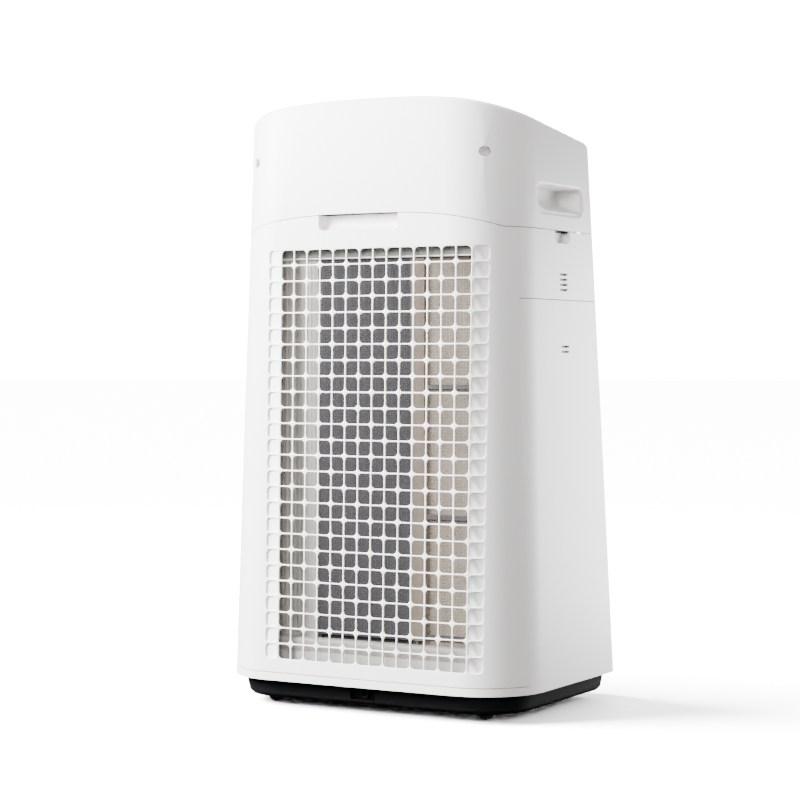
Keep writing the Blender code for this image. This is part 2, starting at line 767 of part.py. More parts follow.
def button(name, index):
    spot, normal = button_spot(index), panel_normal()
    obj = cylinder(
        name, BUTTON_RADIUS, spot - normal * BUTTON_LENGTH, spot + normal * BUTTON_PROUD, "white_abs"
    )
    own_origin(obj, spot)
    rim = obj.modifiers.new("rim", "BEVEL")
    rim.width = 0.5 * MM
    rim.segments = 2
    rim.limit_method = "ANGLE"
    rim.angle_limit = math.radians(60)
    return obj


def control_board():
    """The board under the buttons, tilted as the panel is, with a switch block below each button."""
    y = PANEL_FRONT + PANEL_DEPTH / 2
    normal = panel_normal()
    centre = Vector((0, y, float(top_surface(0, y)))) - normal * BOARD_DROP
    size = Vector((PANEL_HALF * 2 - 8 * MM, PANEL_DEPTH - 6 * MM, BOARD_THICK))
    obj = box("control_board", -size / 2, size / 2, "board")
    obj.location = centre
    obj.rotation_euler = (math.atan(TOP_SLOPE), 0, 0)
    for index, name in enumerate(BUTTON_NAMES):
        spot = button_spot(index)
        foot = centre + (spot - centre) - normal * (spot - centre).dot(normal)
        top = spot - normal * (BUTTON_LENGTH + BUTTON_TRAVEL + FIT)
        join(obj, cylinder(name + "_switch", 2 * MM, foot - normal * BOARD_THICK / 4, top, sides=12))
    return obj


# ---- Filters and bay ----


def bay_limits():
    """Lowest and highest inner corner of the filter bay."""
    low = Vector((HEPA_RIGHT - FIT, PARTITION_BACK, FILTER_BOTTOM - FIT))
    return low, Vector((GUARD_LEFT + FIT, FILTER_BACK + RUN, FILTER_TOP + FIT))


def filter_bay():
    low, high = bay_limits()
    wall = Vector((PARTITION_THICK,) * 3)
    obj = box("filter_bay", low - wall, (high.x + wall.x, high.y, high.z + wall.z), "grey_abs")
    modify(obj, box("bay_space", low, (high.x, REACH, high.z)))
    start, stop = (0, 0, FAN_HEIGHT), (0, REACH, FAN_HEIGHT)
    return modify(obj, cylinder("bay_inlet", INLET_RADIUS + 2 * WALL, start, stop, sides=40))


def filter_frame(name, right, left, bars, finish):
    """An open frame, with cross bars over the face towards the grille."""
    low = (right, FILTER_BACK - FILTER_THICK, FILTER_BOTTOM)
    obj = box(name, low, (left, FILTER_BACK, FILTER_TOP), finish)
    inner = (right + FRAME_WALL, 0, FILTER_BOTTOM + FRAME_WALL)
    modify(obj, box(name + "_window", inner, (left - FRAME_WALL, REACH, FILTER_TOP - FRAME_WALL)))
    for bar in bars:
        low = (right + FRAME_WALL / 2, FILTER_BACK - FRAME_WALL, bar - BAR_HEIGHT / 2)
        high = (left - FRAME_WALL / 2, FILTER_BACK, bar + BAR_HEIGHT / 2)
        join(obj, box(f"{name}_bar_{round(bar / MM)}", low, high))
    return obj


def filter_media(name, right, left, finish):
    edge = FRAME_WALL + FIT
    low = (right + edge, FILTER_BACK - FILTER_THICK, FILTER_BOTTOM + edge)
    high = (left - edge, FILTER_BACK - FRAME_WALL - FIT, FILTER_TOP - edge)
    return box(name, low, high, finish)


def side_guard():
    """The slatted wall beside the filters."""
    right, left = CARBON_LEFT + FIT, GUARD_LEFT
    low = (right, FILTER_BACK - GUARD_THICK, FILTER_BOTTOM)
    obj = box("side_guard", low, (left, FILTER_BACK, FILTER_TOP), "grey_abs")
    pitch = (left - right) / GUARD_SLATS
    for slat in range(GUARD_SLATS):
        start = right + pitch * slat + GUARD_BAR / 2
        low = (start, 0, FILTER_BOTTOM + 2 * FRAME_WALL)
        high = (start + pitch - GUARD_BAR, REACH, FILTER_TOP - 2 * FRAME_WALL)
        modify(obj, box(f"guard_gap_{slat}", low, high))
    return obj


def panel_catch(name, side):
    """A clip on top of the filter bay that holds the rear panel's upper edge."""
    top = bay_limits()[1].z + PARTITION_THICK + FIT
    low = (side * CATCH_X - 7 * MM, FILTER_BACK - 16 * MM, top)
    return box(name, low, (side * CATCH_X + 7 * MM, FILTER_BACK + 4 * MM, top + 6 * MM), "grey_abs")


# ---- Fan ----


def scroll_back():
    return PARTITION_BACK - PARTITION_THICK - FIT


def volute(offset, top):
    """Outline of the fan scroll in X and Z: a spiral from the tongue round under the fan, and a duct up."""
    angles = np.radians(np.linspace(TONGUE_ANGLE, 360, SCROLL_STEPS))
    share = (angles - angles[0]) / (angles[-1] - angles[0])
    radius = TONGUE_RADIUS + SCROLL_GROWTH * share + offset
    spiral = zip(radius * np.cos(angles), FAN_HEIGHT + radius * np.sin(angles))
    half = OUTLET_HALF + offset
    return [(-half, top), *spiral, (half, DUCT_BASE), (half, top)]


def fan_scroll():
    front = SCROLL_FRONT
    obj = prism("fan_scroll", volute(SCROLL_WALL, DUCT_BASE), "Y", front, scroll_back(), "grey_abs")
    inner = prism("scroll_space", volute(0, DUCT_BASE + RUN), "Y", front + SCROLL_WALL, REACH)
    modify(obj, inner)
    start, stop = (0, front - RUN, FAN_HEIGHT), (0, front + SCROLL_WALL + RUN, FAN_HEIGHT)
    return modify(obj, cylinder("shaft_hole", SHAFT_RADIUS + 2 * RUN, start, stop))


def inlet_ring():
    start = (0, scroll_back() - RING_LENGTH, FAN_HEIGHT)
    stop = (0, PARTITION_BACK, FAN_HEIGHT)
    return ring_of("inlet_ring", INLET_RADIUS + 2 * WALL - FIT, INLET_RADIUS, start, stop, "white_abs", 40)


def impeller():
    front = SCROLL_FRONT + SCROLL_WALL + 4 * RUN
    back = front + IMPELLER_WIDTH
    start, stop = (0, front, FAN_HEIGHT), (0, front + PLATE_THICK, FAN_HEIGHT)
    disc = cylinder("impeller", IMPELLER_RADIUS, start, stop, "grey_abs", 40)
    start, stop = (0, front + RUN, FAN_HEIGHT), (0, front + HUB_LENGTH, FAN_HEIGHT)
    hub = cylinder("hub", HUB_RADIUS, start, stop)
    shape = bmesh.new()
    for index in range(BLADES):
        angle = 2 * math.pi * index / BLADES
        made = bmesh.ops.create_cube(shape, size=1)["verts"]
        size = (BLADE_LENGTH, IMPELLER_WIDTH - SHROUD_THICK, BLADE_THICK)
        bmesh.ops.scale(shape, vec=size, verts=made)
        bmesh.ops.rotate(shape, verts=made, matrix=Matrix.Rotation(-BLADE_LEAN, 3, "Y"))
        middle = (IMPELLER_RADIUS - BLADE_LENGTH / 2 - 2 * MM, (front + back) / 2, 0)
        bmesh.ops.translate(shape, vec=middle, verts=made)
        bmesh.ops.rotate(shape, verts=made, matrix=Matrix.Rotation(angle, 3, "Y"))
        bmesh.ops.translate(shape, vec=(0, 0, FAN_HEIGHT), verts=made)
    blades = object_from("blades", shape)
    start, stop = (0, back - SHROUD_THICK, FAN_HEIGHT), (0, back, FAN_HEIGHT)
    shroud = cylinder("shroud", IMPELLER_RADIUS, start, stop, sides=40)
    start = (0, front + HUB_LENGTH + NUT_LENGTH, FAN_HEIGHT)
    eye = cylinder("eye", INLET_RADIUS - RUN, start, (0, REACH, FAN_HEIGHT), sides=40)
    bore = cylinder("hub_bore", SHAFT_RADIUS + FIT, (0, -REACH, FAN_HEIGHT), (0, REACH, FAN_HEIGHT))
    modify(shroud, eye)
    join(disc, hub, blades, shroud)
    modify(disc, bore)
    return own_origin(disc, (0, front, FAN_HEIGHT))


def motor_shaft():
    start = (0, SCROLL_FRONT - MOTOR_STEP + FIT, FAN_HEIGHT)
    stop = (0, SCROLL_FRONT + SCROLL_WALL + SHAFT_REACH, FAN_HEIGHT)
    obj = cylinder("motor_shaft", SHAFT_RADIUS, start, stop, "steel", 16)
    return own_origin(obj, (0, SCROLL_FRONT, FAN_HEIGHT))


def impeller_nut():
    seat = SCROLL_FRONT + SCROLL_WALL + 4 * RUN + HUB_LENGTH + FIT
    start, stop = (0, seat, FAN_HEIGHT), (0, seat + NUT_LENGTH, FAN_HEIGHT)
    return ring_of("impeller_nut", NUT_RADIUS, SHAFT_RADIUS + FIT, start, stop, "steel", 6)


def motor():
    back = SCROLL_FRONT - MOTOR_STEP
    start, stop = (0, back - MOTOR_LENGTH, FAN_HEIGHT), (0, back, FAN_HEIGHT)
    obj = cylinder("fan_motor", MOTOR_RADIUS, start, stop, "black_abs", 32)
    nose = (0, start[1] - MOTOR_NOSE, FAN_HEIGHT)
    return join(obj, cylinder("motor_nose", MOTOR_RADIUS / 2, nose, (0, back - RUN, FAN_HEIGHT)))


def motor_bracket():
    start = (0, SCROLL_FRONT - MOTOR_STEP - BRACKET_LENGTH, FAN_HEIGHT)
    stop = (0, SCROLL_FRONT - FIT, FAN_HEIGHT)
    outer, inner = MOTOR_RADIUS + BRACKET_WALL, MOTOR_RADIUS + FIT
    return ring_of("motor_bracket", outer, inner, start, stop, "steel", 32)


def block_loft(name, low, high, finish=None):
    """A solid between two rectangles at two heights: each is (x0, y0, x1, y1, z)."""
    rings = []
    for x0, y0, x1, y1, z in (low, high):
        rings.append([(x0, y0, z), (x1, y0, z), (x1, y1, z), (x0, y1, z)])
    return loft(name, rings, finish)


def air_duct():
    """Carries the air from the scroll up and back to the outlet."""
    wall = SCROLL_WALL
    half, front = OUTLET_HALF, outlet_front()
    low = (-half - wall, SCROLL_FRONT, half + wall, scroll_back(), DUCT_BASE + FIT)
    high = (-half - wall, front - wall, half + wall, OUTLET_REAR + wall, FRAME_BOTTOM - FIT)
    obj = block_loft("air_duct", low, high, "grey_abs")
    low = (-half, SCROLL_FRONT + wall, half, scroll_back() - wall, DUCT_BASE + FIT)
    high = (-half, front, half, OUTLET_REAR, FRAME_BOTTOM - FIT)
    inner = block_loft("duct_space", low, high)
    modify(obj, inner)
    ends = (
        (-half, SCROLL_FRONT + wall, half, scroll_back() - wall, DUCT_BASE - RUN),
        (-half, SCROLL_FRONT + wall, half, scroll_back() - wall, DUCT_BASE + FIT + RUN / 2),
    )
    return modify(obj, block_loft("duct_mouth", *ends))


# ---- Electronics ----


def power_board():
    y = front_at(POWER_BOTTOM) + 14 * MM
    low = (-POWER_HALF, y, POWER_BOTTOM)
    obj = box("power_board", low, (POWER_HALF, y + BOARD_THICK, POWER_BOTTOM + POWER_HEIGHT), "board")
    for x, z, wide, tall, deep in POWER_PARTS:
        low = (x * MM, y + BOARD_THICK / 2, POWER_BOTTOM + z * MM)
        high = (x * MM + wide * MM, y + deep * MM, POWER_BOTTOM + (z + tall) * MM)
        join(obj, box(f"power_block_{x}", low, high))
    return obj


def side_module(name, bottom, top, front, rear, deep, finish):
    """A small box behind the -X wall, with its face a fit away from the wall."""
    face = -side_at(top) + WALL + 4 * FIT
    return box(name, (face, front, bottom), (face + deep, rear, top), finish)


# ---- Base and casters ----


def tray_ring(height, inset):
    outline = section(max(height, BODY_BOTTOM), inset)
    return np.column_stack([outline, np.full(len(outline), height)])


def base_tray():
    flange = BODY_BOTTOM + 2.3 * MM
    steps = (
        (TRAY_BOTTOM, TRAY_BOTTOM_INSET),
        (TRAY_BOTTOM + 4 * MM, (TRAY_INSET + TRAY_BOTTOM_INSET) / 2),
        (flange, TRAY_INSET),
        (flange, WALL + FIT),
        (TRAY_TOP, WALL + FIT),
    )
    obj = loft("base_tray", [tray_ring(*step) for step in steps], "black_abs")
    inside = TRAY_BOTTOM_INSET + TRAY_WALL
    space = loft("tray_space", [tray_ring(TRAY_BOTTOM + TRAY_FLOOR, inside), tray_ring(0.1, inside)])
    modify(obj, space)
    for index, (sx, sy) in enumerate(CASTERS):
        x, y = sx * WHEEL_X, sy * WHEEL_Y
        reach_x, reach_y = WHEEL_RADIUS + 2 * RUN, WHEEL_WIDTH / 2 + RUN
        top = WHEEL_RADIUS * 2 + 2 * RUN
        low = (x - reach_x - 3 * MM, y - reach_y - 5 * MM, TRAY_BOTTOM)
        high = (x + reach_x + 3 * MM, y + reach_y + 5 * MM, top + 3 * MM)
        join(obj, box(f"well_block_{index}", low, high))
        low, high = (x - reach_x, y - reach_y, 0), (x + reach_x, y + reach_y, top)
        modify(obj, box(f"well_{index}", low, high))
        start, stop = axle_ends(x, y)
        hole = (start - AXLE_END, stop + AXLE_END)
        modify(obj, cylinder(f"axle_hole_{index}", AXLE_RADIUS + FIT / 2, *hole, sides=12))
    back = rear_at(TRAY_BOTTOM) - TRAY_INSET - CORD_NOTCH_DEPTH
    low = (-CORD_NOTCH_WIDTH / 2 - 3 * MM, back - 3 * MM, TRAY_BOTTOM + RUN)
    high = (CORD_NOTCH_WIDTH / 2 + 3 * MM, rear_at(TRAY_BOTTOM) - TRAY_BOTTOM_INSET, flange)
    join(obj, box("notch_walls", low, high))
    low = (-CORD_NOTCH_WIDTH / 2, back, CORD_NOTCH_BOTTOM)
    high = (CORD_NOTCH_WIDTH / 2, REACH, CORD_NOTCH_BOTTOM + CORD_NOTCH_HEIGHT)
    return modify(obj, box("cord_notch", low, high))


def axle_ends(x, y):
    reach = Vector((0, WHEEL_WIDTH / 2 + RUN + 3 * MM, 0))
    middle = Vector((x, y, WHEEL_RADIUS))
    return middle - reach, middle + reach


def caster(name, sx, sy):
    x, y = sx * WHEEL_X, sy * WHEEL_Y
    start, stop = axle_ends(x, y)
    cylinder(f"{name}_axle", AXLE_RADIUS, start, stop, "steel", 12)
    half = Vector((0, WHEEL_WIDTH / 2, 0))
    middle = Vector((x, y, WHEEL_RADIUS))
    wheel = ring_of(
        f"{name}_wheel", WHEEL_RADIUS, AXLE_RADIUS + FIT / 2, middle - half, middle + half, "rubber", 32
    )
    return wheel


def cord_inlet():
    back = rear_at(TRAY_BOTTOM) - TRAY_INSET - CORD_NOTCH_DEPTH + FIT
    middle = CORD_NOTCH_BOTTOM + CORD_NOTCH_HEIGHT / 2
    start, stop = (0, back, middle), (0, back + 7 * MM, middle)
    return ring_of("cord_inlet", CORD_RADIUS + 2 * MM, CORD_RADIUS, start, stop, "black_abs")


def build():
    upper_housing()
    main_housing()
    front_panel()
    sensor_cover()
    rear_panel()
    pocket_cup()
    handle_cup("left_handle_cup", 1)
    handle_cup("right_handle_cup", -1)
    rear_screw("rear_screw_left", 1)
    rear_screw("rear_screw_right", -1)
    louver("front_louver", 0)
    louver("rear_louver", 1)
    outlet_frame()
    control_panel()
    skin_piece("display_window", window_region("window_piece", 0), "smoked_acrylic")
    for index, name in enumerate(BUTTON_NAMES):
        button(name, index)
    control_board()
    filter_bay()
    filter_frame("particle_frame", HEPA_RIGHT, FILTER_JOINT, BAR_HEIGHTS, "dark_mesh")
    filter_media("particle_filter", HEPA_RIGHT, FILTER_JOINT, "beige_media")
    filter_frame("carbon_frame", FILTER_JOINT + FIT, CARBON_LEFT, (), "dark_mesh")
    filter_media("carbon_filter", FILTER_JOINT + FIT, CARBON_LEFT, "dark_mesh")
    side_guard()
    panel_catch("panel_catch_left", 1)
    panel_catch("panel_catch_right", -1)
    inlet_ring()
    fan_scroll()
    impeller()
    motor_shaft()
    impeller_nut()
    motor()
    motor_bracket()
    air_duct()
    power_board()
    side_module("dust_sensor", 461 * MM, 492 * MM, -34 * MM, 16 * MM, 20 * MM, "grey_abs")
    side_module("odour_sensor", 388 * MM, 414 * MM, -22 * MM, 8 * MM, 14 * MM, "grey_abs")
    side_module("ioniser", 497 * MM, 514 * MM, -40 * MM, 28 * MM, 24 * MM, "black_abs")
    base_tray()
    cord_inlet()
    for name, sx, sy in (
        ("rear_left", 1, 1),
        ("rear_right", -1, 1),
        ("front_left", 1, -1),
        ("front_right", -1, -1),
    ):
        caster(name, sx, sy)


build()
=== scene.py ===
import math

import bmesh
import bpy
import numpy as np
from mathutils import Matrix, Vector


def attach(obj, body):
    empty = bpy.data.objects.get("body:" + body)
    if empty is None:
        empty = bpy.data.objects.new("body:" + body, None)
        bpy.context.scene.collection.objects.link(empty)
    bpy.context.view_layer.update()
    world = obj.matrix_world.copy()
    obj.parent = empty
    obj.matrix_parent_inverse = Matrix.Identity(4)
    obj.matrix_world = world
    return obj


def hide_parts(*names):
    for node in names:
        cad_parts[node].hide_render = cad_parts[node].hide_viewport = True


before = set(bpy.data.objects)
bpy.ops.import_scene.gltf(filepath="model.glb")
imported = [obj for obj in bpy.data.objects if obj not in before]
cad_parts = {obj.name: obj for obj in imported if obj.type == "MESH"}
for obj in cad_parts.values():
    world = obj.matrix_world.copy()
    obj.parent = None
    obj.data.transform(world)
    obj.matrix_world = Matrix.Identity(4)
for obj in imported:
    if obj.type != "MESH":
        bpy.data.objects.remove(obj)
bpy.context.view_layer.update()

mm = 0.001
weldWithin = 0.005 * mm  # points of one surface that lie this close are one point
print("frame loaded:", len(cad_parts), "nodes")

# The camera looks at the grille and at the side with the slots, from below the top's height
camera = {"place": (-1.2364, 2.1819, 0.3896), "turn": 210.045, "dip": 1.0365, "lens": 98.1, "sensor": 36}

# The housing's outline: half width, rear and front at floor level and at full height
housing = {
    "height": 678 * mm, "baseHalf": 193.5 * mm, "topHalf": 174.7 * mm, "baseRear": 138.9 * mm,
    "topRear": 126.1 * mm, "corner": 70 * mm, "bow": 2.5 * mm, "wall": 2.6 * mm, "seam": 0.8 * mm,
}


def linear(code):  # sRGB hex to the linear numbers that a shader takes
    srgb = np.array([int(code[i:i + 2], 16) for i in (1, 3, 5)]) / 255
    flat = np.where(srgb <= 0.04045, srgb / 12.92, ((srgb + 0.055) / 1.055) ** 2.4)
    return (*[float(value) for value in flat], 1.0)


def addNode(tree, kind, links=None, **settings):
    # adds one node; links fill its inputs, from an output or with a value, and settings are its own
    node = tree.nodes.new("ShaderNode" + kind)
    for name, value in settings.items():
        setattr(node, name, value)
    for name, source in (links or {}).items():
        if isinstance(source, bpy.types.NodeSocket):
            tree.links.new(source, node.inputs[name])
        else:
            node.inputs[name].default_value = source
    return node


def newMaterial(name, look):
    # a Principled material from its look: colour, roughness and what is set once for the whole surface
    made = bpy.data.materials.new(name)
    made.use_nodes = True
    shader = made.node_tree.nodes["Principled BSDF"]
    shader.inputs["Base Color"].default_value = linear(look["colour"])
    shader.inputs["Roughness"].default_value = look["roughness"]
    shader.inputs["Metallic"].default_value = look.get("metal", 0.0)
    shader.inputs["Specular IOR Level"].default_value = look.get("specular", 0.5)
    return made, made.node_tree, shader


# What the mould leaves on every plastic: cloudy patches of tone, and how far its grain changes the shine
mouldTrace = {"patchScale": 9.0, "roughSwing": 0.04, "grainDepth": 0.06 * mm}


def mouldedPlastic(name, look):
    # injection-moulded plastic: a fine spark-eroded grain that softens the shine, and slow unevenness in tone
    made, tree, shader = newMaterial(name, look)
    place = addNode(tree, "TexCoord").outputs["Object"]
    grain = addNode(tree, "TexNoise", {"Vector": place, "Scale": 1 / (look["grain"] * mm), "Detail": 3.0})
    slow = addNode(tree, "TexNoise", {"Vector": place, "Scale": mouldTrace["patchScale"], "Detail": 2.0})
    tone = addNode(tree, "MixRGB", {"Fac": slow.outputs["Fac"], "Color1": linear(look["colour"]),
                                    "Color2": linear(look["shade"])})
    tree.links.new(tone.outputs["Color"], shader.inputs["Base Color"])
    swing = mouldTrace["roughSwing"]
    rough = addNode(tree, "MapRange", {"Value": grain.outputs["Fac"], "To Min": look["roughness"] - swing,
                                       "To Max": look["roughness"] + swing})
    tree.links.new(rough.outputs["Result"], shader.inputs["Roughness"])
    bump = addNode(tree, "Bump", {"Height": grain.outputs["Fac"], "Strength": look["bump"],
                                  "Distance": mouldTrace["grainDepth"]})
    tree.links.new(bump.outputs["Normal"], shader.inputs["Normal"])
    return made


# Plastics: colour, its slow shade, roughness, grain width in mm and how deep the grain reads
plastics = {
    # housing, spark-eroded satin: soft wide highlights on warm white
    "satinWhiteAbs": {"colour": "#F0EEEC", "shade": "#ECEAE7", "roughness": 0.42, "grain": 0.9, "bump": 0.25},
    # inner shells, plain mould finish: duller and greyer than the housing
    "shellGreyAbs": {"colour": "#D9D6D2", "shade": "#CFCBC6", "roughness": 0.55, "grain": 1.0, "bump": 0.3},
    # rail above the filters, matt: a mid-grey band with no clear highlight
    "railGreyAbs": {"colour": "#7F7C79", "shade": "#777471", "roughness": 0.6, "grain": 1.0, "bump": 0.3},
    # slatted wall, ledge and screens, matt: warm light grey behind the grille
    "slatGreyAbs": {"colour": "#928E89", "shade": "#8A8580", "roughness": 0.55, "grain": 1.0, "bump": 0.3},
    # base tray, coarse texture that swallows reflections: near black
    "texturedBlackAbs": {"colour": "#0A0A0B", "shade": "#0D0D0E", "roughness": 0.6, "grain": 1.1, "bump": 0.5,
                         "specular": 0.1},
    # fan and its housing, plain mould finish: neutral grey
    "fanGreyAbs": {"colour": "#8E8D8B", "shade": "#858482", "roughness": 0.5, "grain": 1.0, "bump": 0.3},
    # filter frame, matt: charcoal bars across the paper
    "darkFrameAbs": {"colour": "#363437", "shade": "#302E31", "roughness": 0.6, "grain": 1.0, "bump": 0.3},
    # control panel, polished mould: tight bright reflections on light grey
    "glossGreyAbs": {"colour": "#C3C2C0", "shade": "#C0BFBC", "roughness": 0.2, "grain": 1.6, "bump": 0.05},
    # keys, fine satin: a little brighter than the housing
    "keyWhiteAbs": {"colour": "#F2F1EF", "shade": "#EEEDEA", "roughness": 0.34, "grain": 0.8, "bump": 0.15},
    # motor, sprayed and baked enamel: black with a soft sheen and faint orange peel
    "blackEnamel": {"colour": "#202022", "shade": "#262628", "roughness": 0.35, "grain": 1.5, "bump": 0.2},
    # wheels, moulded rubber: dull dark grey
    "rollerRubber": {"colour": "#2A2A2A", "shade": "#303030", "roughness": 0.8, "grain": 0.8, "bump": 0.6},
    # display window, polished and tinted: black glass with sharp reflections
    "smokedAcrylic": {"colour": "#141416", "shade": "#161618", "roughness": 0.08, "grain": 2.0, "bump": 0.0},
    # sensors, plain mould finish: dark grey
    "sensorBlack": {"colour": "#2B2C2E", "shade": "#303133", "roughness": 0.5, "grain": 1.0, "bump": 0.3},
    # tape along the filters' joint, creped: dry matt beige close to the paper's
    "paperTape": {"colour": "#655B50", "shade": "#5D5349", "roughness": 0.9, "grain": 1.2, "bump": 0.4},
}
finish = {name: mouldedPlastic(name, look) for name, look in plastics.items()}
print("plastics made:", len(finish))


# Carbon net: charcoal granules under a woven net, whose threads are drawn at 2.2 mm so that they show
carbonLook = {"colour": "#2A282B", "gap": "#201E21", "roughness": 0.85, "pitch": 2.2, "gritScale": 420.0,
              "deep": 0.4}


def carbonNet(name, look):
    # threads are the greater of two cosines, along x and along z; granules mottle the dark gaps between them
    made, tree, shader = newMaterial(name, look)
    place = addNode(tree, "TexCoord").outputs["Object"]
    parts = addNode(tree, "SeparateXYZ", {"Vector": place})
    waves = []
    for axis in ("X", "Z"):
        turned = addNode(tree, "Math", {0: parts.outputs[axis], 1: 2 * math.pi / (look["pitch"] * mm)},
                         operation="MULTIPLY")
        wave = addNode(tree, "Math", {0: turned.outputs[0]}, operation="COSINE")
        waves.append(wave.outputs[0])
    thread = addNode(tree, "Math", {0: waves[0], 1: waves[1]}, operation="MAXIMUM")
    grit = addNode(tree, "TexNoise", {"Vector": place, "Scale": look["gritScale"], "Detail": 4.0})
    share = addNode(tree, "MapRange", {"Value": thread.outputs[0], "From Min": -0.6, "From Max": 0.9})
    mixed = addNode(tree, "Math", {0: share.outputs["Result"], 1: grit.outputs["Fac"]}, operation="MULTIPLY")
    tone = addNode(tree, "MixRGB", {"Fac": mixed.outputs[0], "Color1": linear(look["gap"]),
                                    "Color2": linear(look["colour"])})
    tree.links.new(tone.outputs["Color"], shader.inputs["Base Color"])
    bump = addNode(tree, "Bump", {"Height": thread.outputs[0], "Strength": 0.5,
                                  "Distance": look["deep"] * mm})
    tree.links.new(bump.outputs["Normal"], shader.inputs["Normal"])
    return made


finish["carbonNet"] = carbonNet("carbonNet", carbonLook)

# Particle filter face: pressed paper cells, three millimetres wide, warm beige; the gap colour is painted
# shade that darkens each cell's hollow
paperLook = {"colour": "#63594E", "gap": "#483F36", "light": "#847A6E", "roughness": 0.9, "cell": 3.4,
             "cloudScale": 30.0, "deep": 0.6}


def paperWithHollowShade(name, look):
    # uneven round cells whose hollows carry painted shade, darker in the middle than at the edges, under slow
    # cloudy patches
    made, tree, shader = newMaterial(name, look)
    place = addNode(tree, "TexCoord").outputs["Object"]
    cells = addNode(tree, "TexVoronoi", {"Vector": place, "Scale": 1 / (look["cell"] * mm),
                                         "Randomness": 0.35}, feature="DISTANCE_TO_EDGE")
    share = addNode(tree, "MapRange", {"Value": cells.outputs["Distance"], "From Min": 0.02,
                                       "From Max": 0.28})
    slow = addNode(tree, "TexNoise", {"Vector": place, "Scale": look["cloudScale"], "Detail": 3.0})
    # painted shade: the nearer a cell's middle, the further its colour goes towards the gap colour, up to
    # three quarters
    depth = addNode(tree, "Math", {0: share.outputs["Result"], 1: 0.75}, operation="MULTIPLY")
    tone = addNode(tree, "MixRGB", {"Fac": depth.outputs[0], "Color1": linear(look["colour"]),
                                    "Color2": linear(look["gap"])})
    warm = addNode(tree, "MixRGB", {"Fac": slow.outputs["Fac"], "Color1": tone.outputs["Color"],
                                    "Color2": linear(look["light"])})
    tree.links.new(warm.outputs["Color"], shader.inputs["Base Color"])
    bump = addNode(tree, "Bump", {"Height": share.outputs["Result"], "Strength": 0.6,
                                  "Distance": look["deep"] * mm}, invert=True)
    tree.links.new(bump.outputs["Normal"], shader.inputs["Normal"])
    return made


finish["paperWithHollowShade"] = paperWithHollowShade("paperWithHollowShade", paperLook)

# Zinc plate: cool metal with faint streaks from the plating
zincLook = {"colour": "#C9CACB", "roughness": 0.4, "metal": 0.75, "streakScale": 260.0, "bright": 0.22,
            "dull": 0.44}


def zincPlate(name, look):
    # the plating's fine mottle shows only in how sharp the reflections are
    made, tree, shader = newMaterial(name, look)
    place = addNode(tree, "TexCoord").outputs["Object"]
    streaks = addNode(tree, "TexNoise", {"Vector": place, "Scale": look["streakScale"], "Detail": 4.0})
    rough = addNode(tree, "MapRange", {"Value": streaks.outputs["Fac"], "To Min": look["bright"],
                                       "To Max": look["dull"]})
    tree.links.new(rough.outputs["Result"], shader.inputs["Roughness"])
    return made


finish["zincPlate"] = zincPlate("zincPlate", zincLook)

# Circuit board: green solder mask with lighter copper tracks below it
boardLook = {"colour": "#1F5A34", "track": "#2F7A4A", "roughness": 0.35, "fieldScale": 60.0, "line": 0.03}


def solderMask(name, look):
    # a field of rectangles, whose outlines stand for the tracks
    made, tree, shader = newMaterial(name, look)
    place = addNode(tree, "TexCoord").outputs["Object"]
    mask = linear(look["colour"])
    tracks = addNode(tree, "TexBrick", {"Vector": place, "Scale": look["fieldScale"], "Color1": mask,
                                        "Color2": mask, "Mortar": linear(look["track"]),
                                        "Mortar Size": look["line"]})
    tree.links.new(tracks.outputs["Color"], shader.inputs["Base Color"])
    return made


finish["solderMask"] = solderMask("solderMask", boardLook)
print("materials made:", len(finish))


def meshPiece(name, points, faces, material, body="root", smooth=True, angle=35):
    # a piece from an array of points and a list of faces, welded, turned outwards and smooth below an angle
    mesh = bpy.data.meshes.new(name)
    mesh.from_pydata(np.asarray(points, float).tolist(), [], faces)
    shape = bmesh.new()
    shape.from_mesh(mesh)
    bmesh.ops.remove_doubles(shape, verts=shape.verts, dist=0.002 * mm)
    wide = [face for face in shape.faces if len(face.verts) > 4]
    bmesh.ops.triangulate(shape, faces=wide, ngon_method="BEAUTY")
    bmesh.ops.recalc_face_normals(shape, faces=shape.faces)
    if shape.calc_volume(signed=True) < 0:
        bmesh.ops.reverse_faces(shape, faces=shape.faces)
    shape.to_mesh(mesh)
    shape.free()
    mesh.polygons.foreach_set("use_smooth", np.full(len(mesh.polygons), smooth))
    if smooth:
        mesh.set_sharp_from_angle(angle=math.radians(angle))
    mesh.materials.append(finish[material])
    piece = bpy.data.objects.new(name, mesh)
    bpy.context.scene.collection.objects.link(piece)
    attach(piece, body)
    return piece


def gridFaces(rows, columns, start=0, flip=False):
    # quads between neighbouring points of a grid whose points run along its columns first
    low = (np.arange(rows - 1)[:, None] * columns + np.arange(columns - 1)[None, :] + start).ravel()
    quads = np.column_stack([low, low + 1, low + columns + 1, low + columns])
    return quads[:, ::-1] if flip else quads


def sheetFaces(rows, columns):
    # a closed sheet: one grid of quads, a second one turned over behind it, and walls round their edges
    size = rows * columns
    index = np.arange(size).reshape(rows, columns)
    rim = np.concatenate([index[0, :-1], index[:-1, -1], index[-1, :0:-1], index[:0:-1, 0]])
    after = np.roll(rim, -1)
    walls = np.column_stack([after, rim, rim + size, after + size])
    return np.concatenate([gridFaces(rows, columns), gridFaces(rows, columns, size, True), walls])


def halfAt(z):  # half width at a height
    return housing["baseHalf"] + (housing["topHalf"] - housing["baseHalf"]) * z / housing["height"]


def rearAt(z):  # how far back the rear lies at a height
    return housing["baseRear"] + (housing["topRear"] - housing["baseRear"]) * z / housing["height"]


def bowed(x, y, z):  # the rear bows out by a little in its middle, and not at all on the sides
    return y + housing["bow"] * (1 - (x / halfAt(z)) ** 2) * np.clip(y / rearAt(z), 0, 1)


